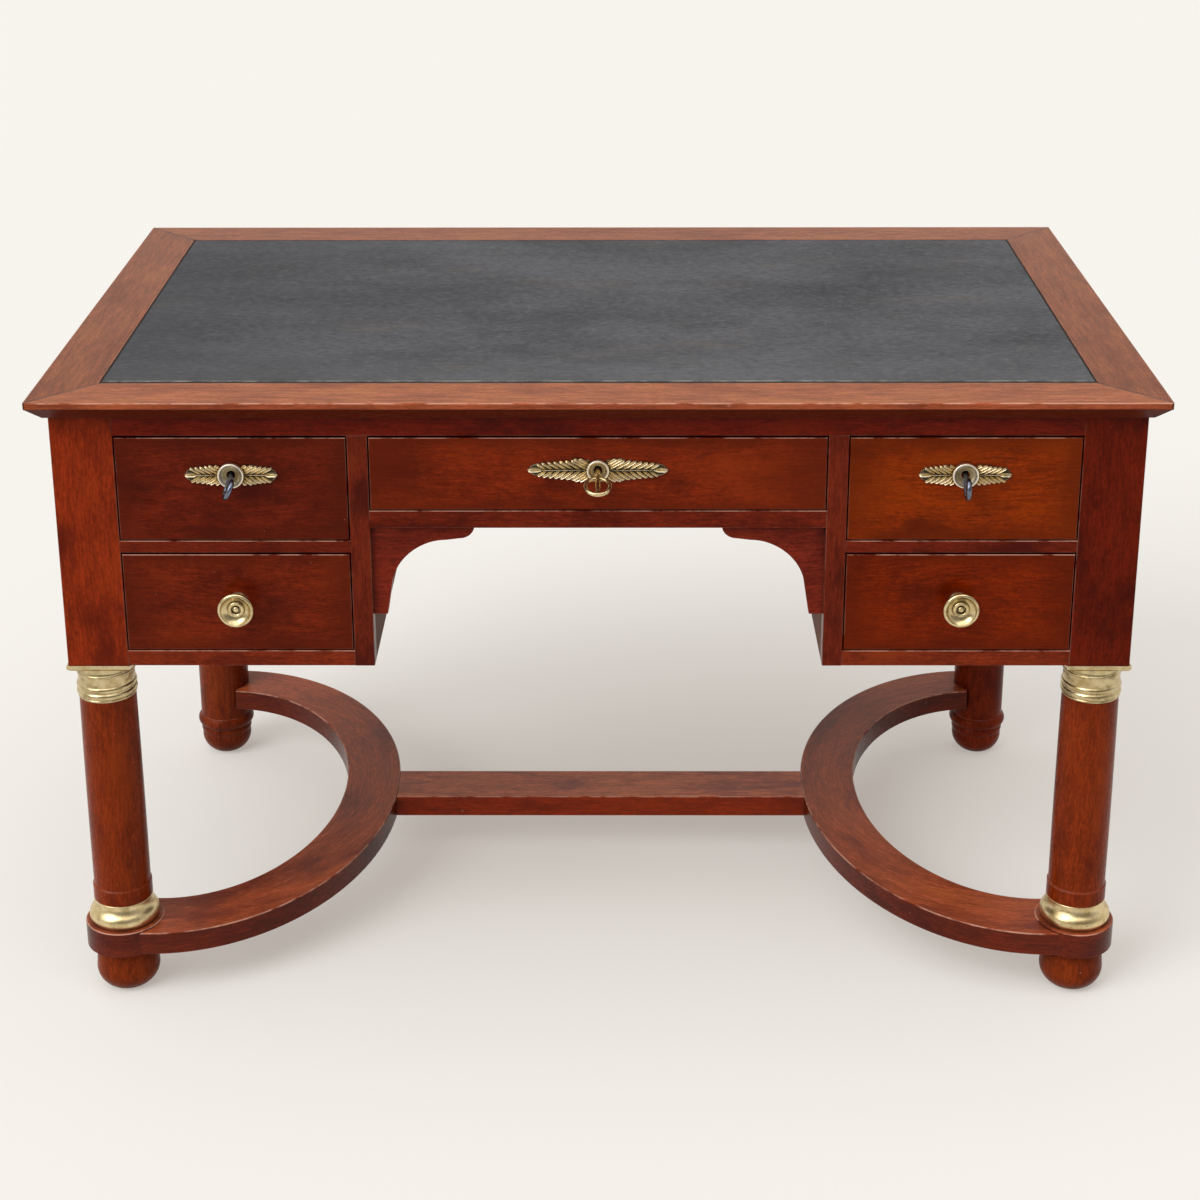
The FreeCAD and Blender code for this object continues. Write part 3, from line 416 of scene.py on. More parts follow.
rimLook = {"tone": (0.345, 0.078, 0.032), "fadedAndLit": (0.395, 0.119, 0.048), "under": (0.105, 0.011, 0.003),
           "ribbon": 0.45, "pores": 0.6, "wearAndHighlight": 0.85, "grainScale": (0.9, 1.9, 1.9), "mitre": 0.25,
           "cloudDark": 0.55, "cloudWarm": 0.5, "cloudDeep": (0.56, 0.47, 0.46), "specular": 0.04,
           "face": upward}
plainClouds = {"cloudDark": 0.45, "cloudDeep": (0.66, 0.62, 0.60), "cloudWarm": 0.5,
               "cloudBright": (1.2, 1.18, 1.14)}
innerLook = {"tone": (0.135, 0.055, 0.031), "specular": 0.05, "glossy": 0.55, "dull": 0.75, "wearAndHighlight": 0.2,
             **plainClouds}
oakLook = {"tone": (0.330, 0.190, 0.092), "specular": 0.1, "glossy": 0.6, "dull": 0.8, "wearAndHighlight": 0.25,
           "worn": (0.45, 0.33, 0.20), "ribbon": 0.5, "grainScale": (0.5, 1.6, 1.6), **plainClouds}
bowLook = {"tone": (0.122, 0.0120, 0.0019), "fadedAndLit": (0.390, 0.080, 0.026), "wearAndHighlight": 0.85, "specular": 0.16,
           "face": upward, "grainScale": (0.7, 1.2, 1.2),
           "bow": {"centreX": 0.575, "centreY": -0.001, "reach": 0.29}}
frontLook = {"axis": "X", "border": 0.75}
turnedLook = {"axis": "Z", "face": turned}
woodwork = (
    {"name": "rimFront", "axis": "X", "boards": ("rim_front",), **rimLook},
    {"name": "rimBack", "axis": "X", "boards": ("rim_back",), **rimLook, "fadedAndLit": (0.292, 0.090, 0.038)},
    {"name": "rimShort", "axis": "Y", "boards": ("rim_left", "rim_right"), **rimLook,
     "fadedAndLit": (0.258, 0.076, 0.029)},
    {"name": "postRed", "axis": "Z", "tone": (0.252, 0.025, 0.004),
     "boards": ("front_post_left", "rear_post_left")},
    {"name": "postDark", "axis": "Z", "tone": (0.122, 0.0086, 0.0012),
     "boards": ("front_post_right", "rear_post_right")},
    {"name": "stile", "axis": "Z", "tone": (0.145, 0.016, 0.005), "boards": ("divider_stiles",)},
    {"name": "topRail", "axis": "X", "tone": (0.145, 0.010, 0.003), "boards": ("top_rail",)},
    {"name": "centreRail", "axis": "X", "tone": (0.145, 0.014, 0.004),
     "boards": ("centre_rail", "mid_rails")},
    {"name": "bottomRail", "axis": "X", "tone": (0.190, 0.023, 0.006), "boards": ("bottom_rails",)},
    {"name": "bracket", "axis": "X", "tone": (0.172, 0.0180, 0.0075), "boards": ("brackets",)},
    {"name": "backBoard", "axis": "X", "tone": (0.150, 0.018, 0.006),
     "boards": ("back_frieze", "pedestal_backs")},
    {"name": "sideBoard", "axis": "Y", "tone": (0.155, 0.018, 0.006),
     "boards": ("side_panel_left", "side_panel_right")},
    {"name": "innerBoard", "axis": "Y", **innerLook,
     "boards": ("inner_sides", "pedestal_bottoms", "drawer_runners", "top_board")},
    {"name": "drawerUpperLeft", "tone": (0.140, 0.013, 0.003), "boards": ("drawer_front_upper_left",),
     **frontLook},
    {"name": "drawerUpperRight", "tone": (0.226, 0.025, 0.0004), "boards": ("drawer_front_upper_right",),
     **frontLook},
    {"name": "drawerCentre", "tone": (0.198, 0.0195, 0.0026), "boards": ("drawer_front_centre",),
     **frontLook},
    {"name": "drawerLowerLeft", "tone": (0.165, 0.0165, 0.003), "boards": ("drawer_front_lower_left",),
     **frontLook},
    {"name": "drawerLowerRight", "tone": (0.182, 0.0155, 0.0003), "boards": ("drawer_front_lower_right",),
     **frontLook},
    {"name": "drawerOak", "axis": "Y", **oakLook,
     "boards": ("drawer_box_upper_left", "drawer_box_upper_right", "drawer_box_lower_left",
                "drawer_box_lower_right", "drawer_box_centre")},
    {"name": "column", "tone": (0.206, 0.0245, 0.0025), "cloudDark": 1.0, "specular": 0.08,
     "boards": ("column_left", "column_right"), **turnedLook},
    {"name": "frontFoot", "tone": (0.200, 0.027, 0.004), "boards": ("front_feet",), **turnedLook},
    {"name": "rearLegRed", "tone": (0.192, 0.028, 0.007), "boards": ("rear_leg_left",), **turnedLook},
    {"name": "rearLegDark", "tone": (0.200, 0.022, 0.005), "boards": ("rear_leg_right",), **turnedLook},
    {"name": "bowedStretcher", "axis": "U", "boards": ("stretcher_left", "stretcher_right"), **bowLook},
    # the cross bar is a much lighter copy of the stretchers' finish: painted light on the bar beneath the
    # desk
    {"name": "crossBar", "axis": "X", "boards": ("cross_bar",), **bowLook, "tone": (0.250, 0.021, 0.001),
     "fadedAndLit": (0.580, 0.160, 0.074)},
)


skin = {
    "name": "blackLeather", "black": (0.026, 0.028, 0.034), "grey": (0.106, 0.108, 0.119),
    "brown": (0.150, 0.118, 0.098), "pale": (0.190, 0.190, 0.196), "worn": (0.50, 0.45, 0.41),
    "seamAndShadowTone": (0.014, 0.009, 0.007), "specular": 0.05,
    "streaks": {"drawn": (95.0, 190.0, 1.0), "detail": 7.0, "roughness": 0.8},
    "paleStreaks": (0.50, 0.64, 0.0, 0.42), "blackStreaks": (0.36, 0.50, 0.55, 0.0),
    "rubs": {"drawn": (4.0, 9.0, 1.0), "detail": 6.0, "roughness": 0.62},
    "rubStops": (0.30, 0.62), "rubRoughness": (0.25, 0.75, 0.42, 0.6),
    "browning": {"drawn": (5.0, 16.0, 1.0), "detail": 5.0, "roughness": 0.65},
    "brownRange": (0.54, 0.76, 0.0, 0.35),
    "folds": {"drawn": (13.0, 70.0, 1.0), "detail": 3.0, "roughness": 0.5}, "foldMiddle": 0.5,
    "creaseRange": (0.0, 0.012, 1.0, 0.0), "creaseWhere": (0.40, 0.52, 1.0, 0.0), "creaseShare": 0.7,
    "markDensity": 0.75, "markShare": 0.4,
    "sheenReachShare": 0.3, "sheenShare": 0.2, "shadeReachShare": 0.4, "shadeShare": 0.3,
    "fraying": {"drawn": (40.0, 40.0, 1.0), "detail": 4.0, "roughness": 0.65}, "frayRange": (0.38, 0.66),
    "border": 0.0125, "borderStartShare": 0.5, "borderShare": 0.8,
    "seamAndShadow": 0.0082, "seamStartShare": 0.7, "seamShare": 0.92, "seamSideShare": 3.2,
    "pebbleScale": 780.0, "pebbleRange": (0.0, 0.25), "pebbleDepth": 0.5, "creaseDepth": -0.8,
    "bump": 0.4, "bumpDepth": 0.0005,
}


def leather():
    made, tree, shader = newFinish(skin["name"])
    where = objectPlace(tree)
    low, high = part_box("leather_inlay")
    streaks, rubs, browned, folds, frayed = [cloud(tree, where, **skin[layer]) for layer in
                                             ("streaks", "rubs", "browning", "folds", "fraying")]
    colour = ramp(tree, rubs, tuple(zip(skin["rubStops"], (skin["black"], skin["grey"]))))
    colour = mixColour(tree, spread(tree, streaks, *skin["paleStreaks"]), colour, skin["pale"])
    colour = mixColour(tree, spread(tree, streaks, *skin["blackStreaks"]), colour, skin["black"])
    colour = mixColour(tree, spread(tree, browned, *skin["brownRange"]), colour, skin["brown"])
    folded = calc(tree, "ABSOLUTE", calc(tree, "SUBTRACT", folds, skin["foldMiddle"]))
    crease = spread(tree, folded, *skin["creaseRange"])
    creased = times(tree, crease, spread(tree, rubs, *skin["creaseWhere"]))
    colour = mixColour(tree, times(tree, creased, skin["creaseShare"]), colour, skin["black"])
    marks = useGroup(tree, marksGroup, Vector=where, Density=skin["markDensity"])["Mask"]
    colour = mixColour(tree, times(tree, marks, skin["markShare"]), colour, skin["pale"])
    place = split(tree, where)
    fromLeft = calc(tree, "SUBTRACT", place["X"], low[0])
    fromRight = calc(tree, "SUBTRACT", high[0], place["X"])
    fromFront = calc(tree, "SUBTRACT", place["Y"], low[1])
    dustReach = (high[1] - low[1]) * skin["sheenReachShare"]
    frontSheen = spread(tree, fromFront, 0.0, dustReach, skin["sheenShare"], 0.0)  # paler towards the sitter: painted sheen
    colour = mixColour(tree, frontSheen, colour, skin["pale"])
    shadeReach = (high[0] - low[0]) * skin["shadeReachShare"]
    shaded = spread(tree, fromLeft, 0.0, shadeReach, skin["shadeShare"], 0.0)
    colour = mixColour(tree, shaded, colour, skin["black"])
    edge = spread(tree, fromFront, skin["border"] * skin["borderStartShare"], skin["border"], 1.0, 0.0)
    edge = times(tree, edge, spread(tree, frayed, *skin["frayRange"]))
    colour = mixColour(tree, times(tree, edge, skin["borderShare"]), colour, skin["worn"])
    sides = times(tree, calc(tree, "MINIMUM", fromLeft, fromRight), skin["seamSideShare"])
    nearest = calc(tree, "MINIMUM", sides, fromFront)
    seamStart = skin["seamAndShadow"] * skin["seamStartShare"]
    seamAndShadow = spread(tree, nearest, seamStart, skin["seamAndShadow"], skin["seamShare"], 0.0)  # dark gap beside the rim, with painted shadow from the rim's edge
    colour = mixColour(tree, seamAndShadow, colour, skin["seamAndShadowTone"])
    feed(tree, shader.inputs["Base Color"], colour)
    feed(tree, shader.inputs["Roughness"], spread(tree, rubs, *skin["rubRoughness"]))
    shader.inputs["Specular IOR Level"].default_value = skin["specular"]
    pebbles = put(tree, "ShaderNodeTexVoronoi", feature="DISTANCE_TO_EDGE")
    feed(tree, pebbles.inputs["Vector"], where)
    pebbles.inputs["Scale"].default_value = skin["pebbleScale"]
    pebbled = spread(tree, pebbles.outputs["Distance"], *skin["pebbleRange"])
    grained = calc(tree, "MULTIPLY_ADD", pebbled, skin["pebbleDepth"], streaks)
    height = calc(tree, "MULTIPLY_ADD", creased, skin["creaseDepth"], grained)
    bumped(tree, shader, height, skin["bump"], skin["bumpDepth"])
    return made


brassTones = {"pale": (0.80, 0.65, 0.37), "deep": (0.54, 0.39, 0.17), "stain": (0.20, 0.145, 0.062),
              "tarnish": (0.045, 0.030, 0.014), "rubbed": (0.92, 0.82, 0.62), "crestHighlight": (0.93, 0.85, 0.73)}
brassSurface = {
    "tone": {"scale": 70.0, "detail": 5.0, "roughness": 0.65},
    "toneStops": ((0.32, "deep"), (0.58, "pale")),
    "stain": {"drawn": (55.0, 55.0, 80.0), "detail": 4.0, "roughness": 0.6}, "stainRange": (0.50, 0.72),
    "stainShare": 0.65, "pits": {"scale": 420.0, "detail": 3.0, "roughness": 0.6}, "pitRange": (0.62, 0.72),
    "pitShare": 0.7, "crestHighlightShare": 0.85, "arrisWidth": 0.0012, "arrisShare": 0.8, "soilShare": 0.5,
    "toneDull": 0.3, "soilDull": 0.6, "dullRange": (0.05, 0.8), "dull": 0.6, "markDensity": 0.8,
    "dents": {"scale": 95.0, "detail": 2.0, "roughness": 0.5}, "markDepth": -0.2, "pitDepth": -0.4,
    "bumpDepth": 0.0012,
}
castGround = {"plane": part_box("escutcheon_centre")[1][1], "low": 0.0013, "high": 0.0027, "top": 0.0038,
              "depth": 0.97}  # darker low between the leaves: dirt and painted shade; paler on the crests: painted highlight; by height above the drawer front
brassware = (
    {"name": "capitalBrass", "tarnish": 1.0, "reach": 0.016, "dents": 0.0, "shade": 0.78, "polished": 0.22,
     "pieces": ("capital_left", "capital_right")},
    {"name": "baseBrass", "tarnish": 0.4, "reach": 0.008, "dents": 0.0, "shade": 0.96, "polished": 0.3,
     "pieces": ("base_ring_left", "base_ring_right")},
    {"name": "knobBrass", "tarnish": 0.85, "reach": 0.006, "dents": 0.04, "shade": 0.92, "polished": 0.22,
     "pieces": ("knob_left", "knob_right", "key_centre")},
    {"name": "castBrass", "tarnish": 0.7, "reach": 0.0022, "dents": 0.03, "shade": 1.25, "polished": 0.36,
     "ground": castGround, "pieces": ("escutcheon_left", "escutcheon_centre", "escutcheon_right")},
)


def brass(look):
    surface = brassSurface
    made, tree, shader = newFinish(look["name"])
    where = objectPlace(tree)
    shader.inputs["Metallic"].default_value = 1.0
    tone, stain, pits, dented = [cloud(tree, where, **surface[layer])
                                 for layer in ("tone", "stain", "pits", "dents")]
    shades = (look["shade"], look["shade"], look["shade"])
    colour = ramp(tree, tone, [(stop, tinted(brassTones[label], shades))
                               for stop, label in surface["toneStops"]])
    stain = spread(tree, stain, *surface["stainRange"])
    colour = mixColour(tree, times(tree, stain, look["tarnish"] * surface["stainShare"]), colour,
                       brassTones["stain"])
    # hollows darken by the same mask: tarnish, and painted shade
    grimeAndShade = useGroup(tree, grimeAndShadeGroup, Reach=look["reach"], Vector=where)["Mask"]
    pits = spread(tree, pits, *surface["pitRange"])
    dirtAndShade = calc(tree, "MAXIMUM", times(tree, grimeAndShade, look["tarnish"]),
                times(tree, pits, surface["pitShare"]))
    ground = look.get("ground")
    if ground:
        raised = calc(tree, "SUBTRACT", ground["plane"], split(tree, where)["Y"])
        # low ground between the leaves darkens: dirt, and painted shade
        sunkDirtAndShade = spread(tree, raised, ground["low"], ground["high"], ground["depth"], 0.0)
        dirtAndShade = calc(tree, "MAXIMUM", dirtAndShade, sunkDirtAndShade)
        # raised crests take a pale tone: painted highlight
        crestHighlight = spread(tree, raised, ground["high"], ground["top"], 0.0, surface["crestHighlightShare"])
        colour = mixColour(tree, crestHighlight, colour, brassTones["crestHighlight"])
    colour = mixColour(tree, dirtAndShade, colour, brassTones["tarnish"])
    arris = useGroup(tree, arrisGroup, Width=surface["arrisWidth"], Vector=where)["Mask"]
    # rubbed edges take the pale tone: wear, and painted highlight
    colour = mixColour(tree, times(tree, arris, surface["arrisShare"]), colour, brassTones["rubbed"])
    feed(tree, shader.inputs["Base Color"], colour)
    soiled = calc(tree, "MAXIMUM", times(tree, stain, surface["soilShare"]), dirtAndShade)
    rough = calc(tree, "MULTIPLY_ADD", tone, surface["toneDull"], times(tree, soiled, surface["soilDull"]))
    feed(tree, shader.inputs["Roughness"],
         spread(tree, rough, *surface["dullRange"], look["polished"], surface["dull"]))
    marks = useGroup(tree, marksGroup, Vector=where, Density=surface["markDensity"])["Mask"]
    pitted = calc(tree, "MULTIPLY_ADD", pits, surface["pitDepth"], dented)
    height = calc(tree, "MULTIPLY_ADD", marks, surface["markDepth"], pitted)
    bumped(tree, shader, height, look["dents"], surface["bumpDepth"])
    return made


steelSurface = {"tone": {"scale": 130.0, "detail": 4.0, "roughness": 0.6}, "toneStops": (0.35, 0.7),
                "paleShares": (1.7, 1.7, 1.7), "arrisWidth": 0.0012, "dullRange": (0.3, 0.7), "bump": 0.2,
                "bumpDepth": 0.0004}
steelware = (
    {"name": "bluedSteel", "dark": (0.125, 0.140, 0.190), "bright": (0.62, 0.60, 0.60), "polished": 0.2,
     "dull": 0.36, "pieces": ("key_left", "key_right")},
    {"name": "lockSteel", "dark": (0.20, 0.19, 0.175), "bright": (0.5, 0.48, 0.45), "polished": 0.35,
     "dull": 0.6, "pieces": ("lock_case_left", "lock_case_centre", "lock_case_right", "lock_bolt_left",
                             "lock_bolt_centre", "lock_bolt_right")},
)


def steel(look):
    surface = steelSurface
    made, tree, shader = newFinish(look["name"])
    where = objectPlace(tree)
    shader.inputs["Metallic"].default_value = 1.0
    tone = cloud(tree, where, **surface["tone"])
    tones = (look["dark"], tinted(look["dark"], surface["paleShares"]))
    colour = ramp(tree, tone, tuple(zip(surface["toneStops"], tones)))
    arris = useGroup(tree, arrisGroup, Width=surface["arrisWidth"], Vector=where)["Mask"]
    # edges take the bright tone: wear, and painted highlight
    feed(tree, shader.inputs["Base Color"], mixColour(tree, arris, colour, look["bright"]))
    feed(tree, shader.inputs["Roughness"],
         spread(tree, tone, *surface["dullRange"], look["polished"], look["dull"]))
    bumped(tree, shader, tone, surface["bump"], surface["bumpDepth"])
    return made


def lay(material, names):
    for name in names:
        piece = nodes[name]
        piece.data.materials.clear()
        piece.data.materials.append(material)


for number, name in enumerate(sorted(nodes)):
    nodes[name].pass_index = number  # a seed for each board's grain

for look in woodwork:
    lay(mahogany(look), look["boards"])
lay(leather(), ("leather_inlay",))
for look in brassware:
    lay(brass(look), look["pieces"])
for look in steelware:
    lay(steel(look), look["pieces"])
print("finishes laid on")


# cast leaf escutcheons

escutcheons = {
    "collar": 0.015, "collarStand": 0.0070, "lip": 0.0014, "dish": 0.0018, "dishCurve": 3.6, "hole": 0.0052,
    "sides": 56, "lipSteps": 5, "dishSteps": 6,
    "plate": 0.0011, "backingShare": 0.84, "backingPad": 0.0003, "backingSteps": 24, "shoulderShare": 0.74,
    "relief": 0.0022, "tilt": 0.0012, "leafAngle": 38.0, "leafBow": 0.1, "neckShare": 0.4, "neckCurve": 0.6,
    "bladeShare": 0.76, "pointShare": 0.12, "tipFall": 5, "rootShare": 0.35, "rootRise": 2,
    "rib": 0.2, "ribShare": 0.9, "cupShare": 0.35, "rimShare": 0.5, "steps": 12, "across": 10,
    "firstPair": 0.02, "pairAhead": 0.2, "pairLast": 0.9, "narrowShare": 0.7,
    "tipShare": 0.06, "tipWidthShare": 1.35, "collarLeaves": (17.0, 33.0),
    "stemWidth": 0.0013, "stemShare": 0.8, "stemReliefShare": 1.2, "stemTiltShare": 0.6, "stemRib": 0.9,
    "sharpAngle": 50.0,
}
smallSpray = {"pairs": 4, "lastPair": 0.50, "leafWidth": 0.0038, "halfHeight": 0.0116, "shoulder": 0.0086}
longSpray = {"pairs": 7, "lastPair": 0.68, "leafWidth": 0.0041, "halfHeight": 0.0138, "shoulder": 0.0088,
             "collar": 0.0128}
places = {
    "left": {"body": "drawer_upper_left", **smallSpray},
    "centre": {"body": "drawer_centre", **longSpray},
    "right": {"body": "drawer_upper_right", **smallSpray},
}


def addCollar(shape, cast):
    # a dished ring turned about the keyhole; y grows towards the wood
    radius, lip, hole = cast["collar"], cast["lip"], cast["hole"]
    brim, dish = cast["collarStand"] - cast["lip"], cast["dish"]
    outline = [(hole, 0.0), (radius, 0.0), (radius, brim)]
    for step in range(1, cast["lipSteps"] + 1):
        angle = math.pi * step / cast["lipSteps"]
        outline.append((radius - lip + lip * math.cos(angle), brim + lip * math.sin(angle)))
    inner = radius - lip * 2
    for step in range(1, cast["dishSteps"] + 1):
        along = step / cast["dishSteps"]
        fall = (1 - along) ** cast["dishCurve"]
        outline.append((inner + (hole - inner) * along, dish + (brim - dish) * fall))
    rings = []
    for number in range(cast["sides"]):
        turn = math.tau * number / cast["sides"]
        rings.append([shape.verts.new((reach * math.cos(turn), -out, reach * math.sin(turn)))
                      for reach, out in outline])
    for first, second in zip(rings, rings[1:] + rings[:1]):
        for number in range(len(outline)):
            follow = (number + 1) % len(outline)
            shape.faces.new((first[number], second[number], second[follow], first[follow]))


def leafWidthAt(cast, width, along):
    # half the width of a blunt leaf: a narrow neck, a broad blade and a round end
    neck = min(1.0, along / cast["neckShare"]) ** cast["neckCurve"]
    past = max(0.0, along - cast["bladeShare"]) / (1 - cast["bladeShare"])
    return width / 2 * max(cast["pointShare"], neck * math.sqrt(1 - past * past))


def addLeaf(shape, cast, start, angle, length, width, mirror, lift=0.0):
    # a leaf that stands up towards its tip, hollow between its rib and its rim, closed underneath
    steps, across = cast["steps"], cast["across"]
    curl = (angle > 0) - (angle < 0)
    rows = []
    for step in range(steps + 1):
        along = step / steps
        half = leafWidthAt(cast, width, along)
        tipRise = math.sin(math.pi / 2 * min(1.0, (1 - along) * cast["tipFall"]))
        rise = tipRise * min(1.0, cast["rootShare"] + along * cast["rootRise"])
        bow = cast["leafBow"] * length * along * along * curl
        row = []
        for place in range(across + 1):
            side = place / across * 2 - 1
            rib = math.exp(-(side / cast["rib"]) ** 2) * cast["ribShare"]
            cup = cast["cupShare"] + (1 - cast["cupShare"]) * side * side
            level = cast["plate"] + cast["relief"] * rise * max(cup, rib) + cast["tilt"] * along
            if place in (0, across) or step in (0, steps):
                level = cast["plate"] * cast["rimShare"]  # the leaf's rim is sunk in the plate
            offset = half * side - bow
            x = start + math.cos(angle) * along * length - math.sin(angle) * offset
            z = lift + math.sin(angle) * along * length + math.cos(angle) * offset
            row.append(shape.verts.new((x * mirror, -level, z)))
        rows.append(row)
    for near, far in zip(rows, rows[1:]):
        for place in range(across):
            shape.faces.new((near[place], near[place + 1], far[place + 1], far[place]))
    rim = rows[0] + [row[-1] for row in rows[1:]] + rows[-1][-2::-1] + [row[0] for row in rows[-2:0:-1]]
    shape.faces.new(rim)


def sprayHeight(cast, along):
    # half the height of a spray: a gentle taper, then a round end
    shoulder = cast["shoulderShare"]
    if along < shoulder:
        return cast["halfHeight"] + (cast["shoulder"] - cast["halfHeight"]) * along / shoulder
    past = (along - shoulder) / (1 - shoulder)
    return cast["shoulder"] * math.sqrt(max(0.0, 1 - past * past))


def addBacking(shape, cast, begin, run, mirror):
    # the narrow plate under a spray
    upper = []
    for step in range(cast["backingSteps"] + 1):
        along = step / cast["backingSteps"]
        half = sprayHeight(cast, along) * cast["backingShare"] + cast["backingPad"]
        upper.append((begin + (run - cast["plate"]) * along, half))
    outline = upper + [(x, -half) for x, half in reversed(upper)]
    front = [shape.verts.new((x * mirror, -cast["plate"], z)) for x, z in outline]
    back = [shape.verts.new((x * mirror, 0.0, z)) for x, z in outline]
    shape.faces.new(front)
    shape.faces.new(back[::-1])
    for number in range(len(outline)):
        follow = (number + 1) % len(outline)
        shape.faces.new((front[number], back[number], back[follow], front[follow]))


def addSpray(shape, cast, length, mirror):
    # paired leaves, a single one at the tip and a stem, on a narrow plate
    begin = cast["collar"] - cast["lip"] * 2
    run = length - begin
    angle = math.radians(cast["leafAngle"])
    blade, tall = cast["leafWidth"], cast["halfHeight"]
    longest = tall / (math.sin(angle) - cast["leafBow"] * math.cos(angle))
    tip = cast["lastPair"] + cast["tipShare"]
    addLeaf(shape, cast, begin + run * tip, 0.0, run * (1 - tip), blade * cast["tipWidthShare"], mirror)
    for number in reversed(range(cast["pairs"])):
        share = cast["firstPair"] + (cast["lastPair"] - cast["firstPair"]) * number / (cast["pairs"] - 1)
        size = sprayHeight(cast, min(share + cast["pairAhead"], cast["pairLast"])) / tall
        width = blade * (cast["narrowShare"] + (1 - cast["narrowShare"]) * size)
        for side in (1, -1):
            addLeaf(shape, cast, begin + run * share, angle * side, longest * size, width, mirror)
    for turn in cast["collarLeaves"]:  # leaves that come out from under the collar
        reach = cast["collar"] - cast["lip"]
        foot = reach * math.cos(math.radians(turn))
        lift = reach * math.sin(math.radians(turn))
        for side in (1, -1):
            size = longest * (1 - lift / tall)
            addLeaf(shape, cast, foot, angle * side, size, blade, mirror, lift * side)
    addBacking(shape, cast, begin, run, mirror)
    stem = {**cast, "relief": cast["relief"] * cast["stemReliefShare"], "rib": cast["stemRib"],
            "tilt": cast["tilt"] * cast["stemTiltShare"]}
    addLeaf(shape, stem, begin, 0.0, run * cast["stemShare"], cast["stemWidth"], mirror)


def makeEscutcheon(place):
    cast = {**escutcheons, **places[place]}
    node = "escutcheon_" + place
    low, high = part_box(node)
    shape = bmesh.new()
    addCollar(shape, cast)
    for mirror in (1, -1):
        addSpray(shape, cast, (high[0] - low[0]) / 2, mirror)
    bmesh.ops.recalc_face_normals(shape, faces=shape.faces)
    centre = Vector(((low[0] + high[0]) / 2, high[1], (low[2] + high[2]) / 2))
    bmesh.ops.translate(shape, verts=shape.verts, vec=centre)
    mesh = bpy.data.meshes.new("leafEscutcheon_" + place)
    shape.to_mesh(mesh)
    shape.free()
    for face in mesh.polygons:
        face.use_smooth = True
    mesh.set_sharp_from_angle(angle=math.radians(cast["sharpAngle"]))
    mesh.materials.append(bpy.data.materials["castBrass"])
    piece = bpy.data.objects.new("leafEscutcheon_" + place, mesh)
    bpy.context.scene.collection.objects.link(piece)
    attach(piece, cast["body"])
    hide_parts(node)


for place in places:
    makeEscutcheon(place)
print("escutcheons cast")


# studio

studio = {
    "floor": (0.555, 0.572, 0.562), "floorReach": 45.0, "floorRough": 0.9, "floorSpecular": 0.0,
    "floorLift": (0.375, 0.341, 0.310),
    "skyTint": (1.0, 0.945, 0.885), "frontLight": 0.54, "sideLight": 0.22, "sideRange": (-0.75, 0.1),
    "topLight": 0.42, "topRange": (0.3, 0.9),
    "background": (0.905, 0.877, 0.832), "behindCamera": 0.24, "behindRange": (-0.85, 0.25),
    "overheadRange": (0.45, 0.8),
    "lamps": (
        {"name": "overheadBank", "strength": 1.25, "spread": 70.0, "from": (-0.12, -0.22, 0.97)},
        {"name": "frontLeftBank", "strength": 1.3, "spread": 34.0, "from": (-0.6, -0.55, 0.6)},
    ),
}


def seenDirectly(tree):
    ray = put(tree, "ShaderNodeLightPath").outputs
    mirrored = calc(tree, "MAXIMUM", ray["Is Glossy Ray"], ray["Is Transmission Ray"])
    return calc(tree, "MAXIMUM", ray["Is Camera Ray"], mirrored)


def makeFloor():
    mesh = bpy.data.meshes.new("studioFloor")
    shape = bmesh.new()
    reach = studio["floorReach"]
    corners = ((-reach, -reach, 0.0), (reach, -reach, 0.0), (reach, reach, 0.0), (-reach, reach, 0.0))
    shape.faces.new([shape.verts.new(corner) for corner in corners])
    shape.to_mesh(mesh)
    shape.free()
    floor = bpy.data.objects.new("studioFloor", mesh)
    bpy.context.scene.collection.objects.link(floor)
    made, tree, shader = newFinish("paleFloor")
    shader.inputs["Base Color"].default_value = (*studio["floor"], 1)
    shader.inputs["Roughness"].default_value = studio["floorRough"]
    shader.inputs["Specular IOR Level"].default_value = studio["floorSpecular"]
    lifted = put(tree, "ShaderNodeEmission")  # lifts the floor towards the pale background
    lifted.inputs["Color"].default_value = (*studio["floorLift"], 1)
    feed(tree, lifted.inputs["Strength"], seenDirectly(tree))
    together = put(tree, "ShaderNodeAddShader")
    feed(tree, together.inputs[0], shader.outputs[0])
    feed(tree, together.inputs[1], lifted.outputs[0])
    feed(tree, tree.nodes["Material Output"].inputs["Surface"], together.outputs[0])
    made.cycles.emission_sampling = "NONE"
    mesh.materials.append(made)


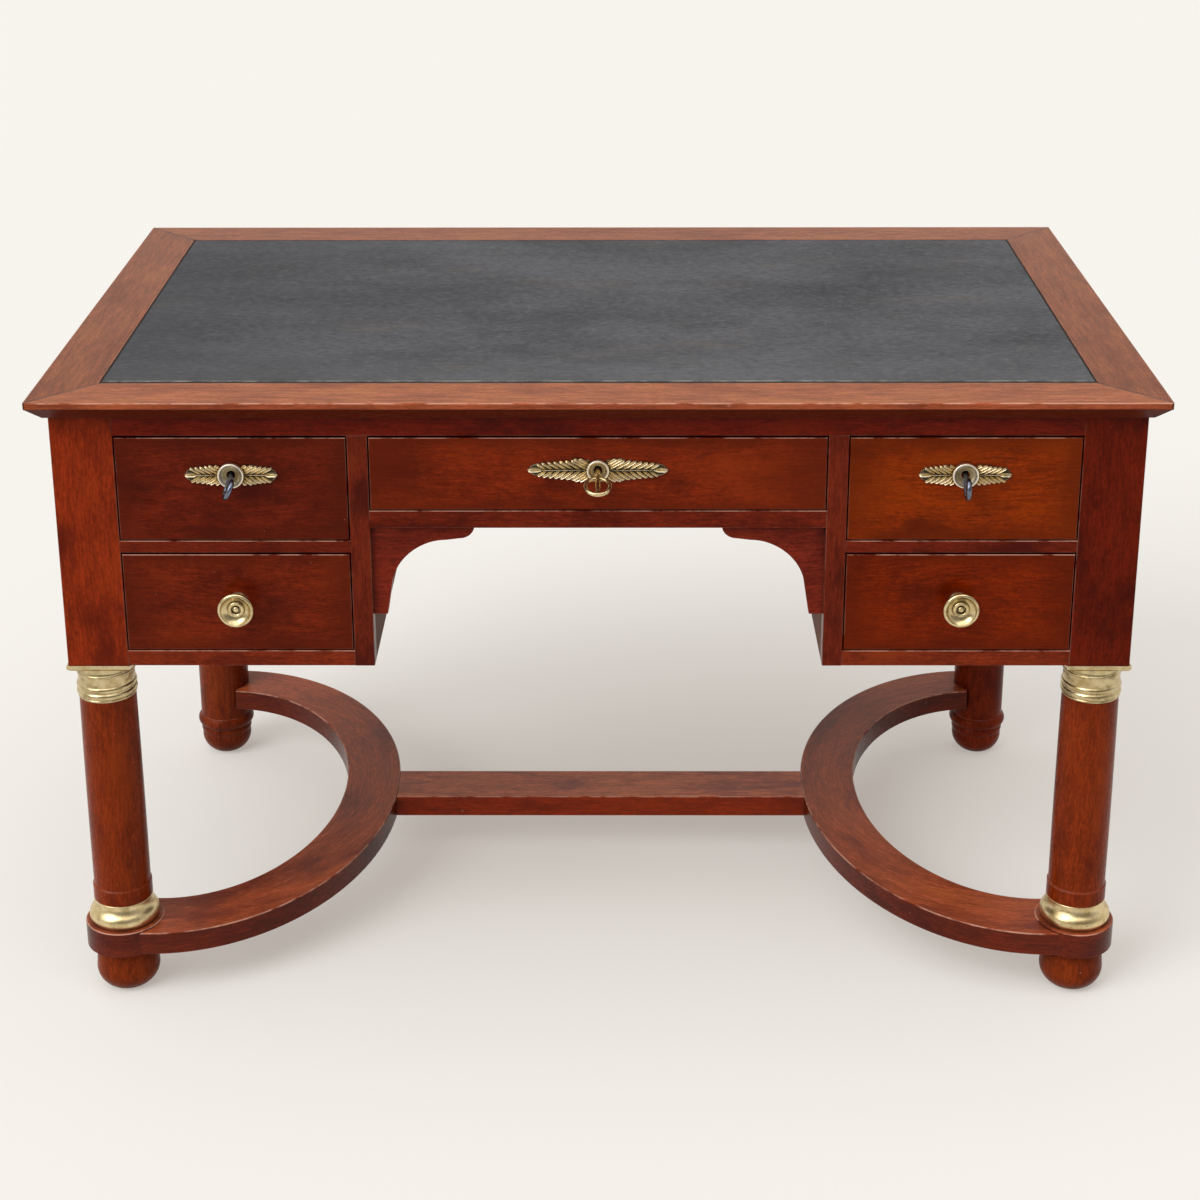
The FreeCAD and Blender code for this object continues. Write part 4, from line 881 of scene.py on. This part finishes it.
def makeSky():
    world = bpy.data.worlds.new("studioSky")
    bpy.context.scene.world = world
    world.use_nodes = True
    tree = world.node_tree
    towards = split(tree, put(tree, "ShaderNodeTexCoord").outputs["Generated"])
    lighting = tree.nodes["Background"]
    lighting.inputs["Color"].default_value = (*studio["skyTint"], 1)
    sides = spread(tree, towards["Y"], *studio["sideRange"], studio["frontLight"], studio["sideLight"])
    top = spread(tree, towards["Z"], *studio["topRange"], 0.0, studio["topLight"])
    feed(tree, lighting.inputs["Strength"], calc(tree, "MAXIMUM", sides, top))
    seen = put(tree, "ShaderNodeBackground")
    seen.inputs["Color"].default_value = (*studio["background"], 1)
    behind = spread(tree, towards["Y"], *studio["behindRange"], studio["behindCamera"], 1.0)
    overhead = spread(tree, towards["Z"], *studio["overheadRange"])
    mirrored = calc(tree, "MAXIMUM", behind, overhead)  # metal sees the dim room behind the camera
    direct = put(tree, "ShaderNodeLightPath").outputs["Is Camera Ray"]
    feed(tree, seen.inputs["Strength"], calc(tree, "MAXIMUM", direct, mirrored))
    either = put(tree, "ShaderNodeMixShader")
    feed(tree, either.inputs[0], seenDirectly(tree))
    feed(tree, either.inputs[1], lighting.outputs[0])
    feed(tree, either.inputs[2], seen.outputs[0])
    feed(tree, tree.nodes["World Output"].inputs["Surface"], either.outputs[0])


def makeLamps():
    for lamp in studio["lamps"]:
        light = bpy.data.lights.new(lamp["name"], "SUN")
        light.energy = lamp["strength"]
        light.angle = math.radians(lamp["spread"])
        holder = bpy.data.objects.new(lamp["name"], light)
        holder.rotation_euler = Vector(lamp["from"]).to_track_quat("Z", "Y").to_euler()
        bpy.context.scene.collection.objects.link(holder)


camera = {"place": (0.0152753, -2.8100824, 1.6050324), "pitch": 0.3306, "yaw": -0.0052, "roll": -0.0020,
          "focalPixels": 2305.7286, "imagePixels": 1200, "sensor": 36.0, "shiftY": -0.16}


def makeCamera():
    lens = bpy.data.cameras.new("photoCamera")
    lens.sensor_width = camera["sensor"]
    lens.lens = camera["focalPixels"] / camera["imagePixels"] * camera["sensor"]
    lens.shift_y = camera["shiftY"]
    holder = bpy.data.objects.new("photoCamera", lens)
    pitch, yaw, roll = camera["pitch"], camera["yaw"], camera["roll"]
    ahead = Vector((math.sin(yaw) * math.cos(pitch), math.cos(yaw) * math.cos(pitch), -math.sin(pitch)))
    level = Vector((math.cos(yaw), -math.sin(yaw), 0.0))
    upright = level.cross(ahead)
    side = math.cos(roll) * level + math.sin(roll) * upright
    top = math.cos(roll) * upright - math.sin(roll) * level
    turn = Matrix((side, top, -ahead)).transposed().to_4x4()
    holder.matrix_world = Matrix.Translation(camera["place"]) @ turn
    bpy.context.scene.collection.objects.link(holder)
    bpy.context.scene.camera = holder


makeFloor()
makeSky()
makeLamps()
makeCamera()
bpy.context.scene.view_settings.view_transform = "Standard"
print("studio set")
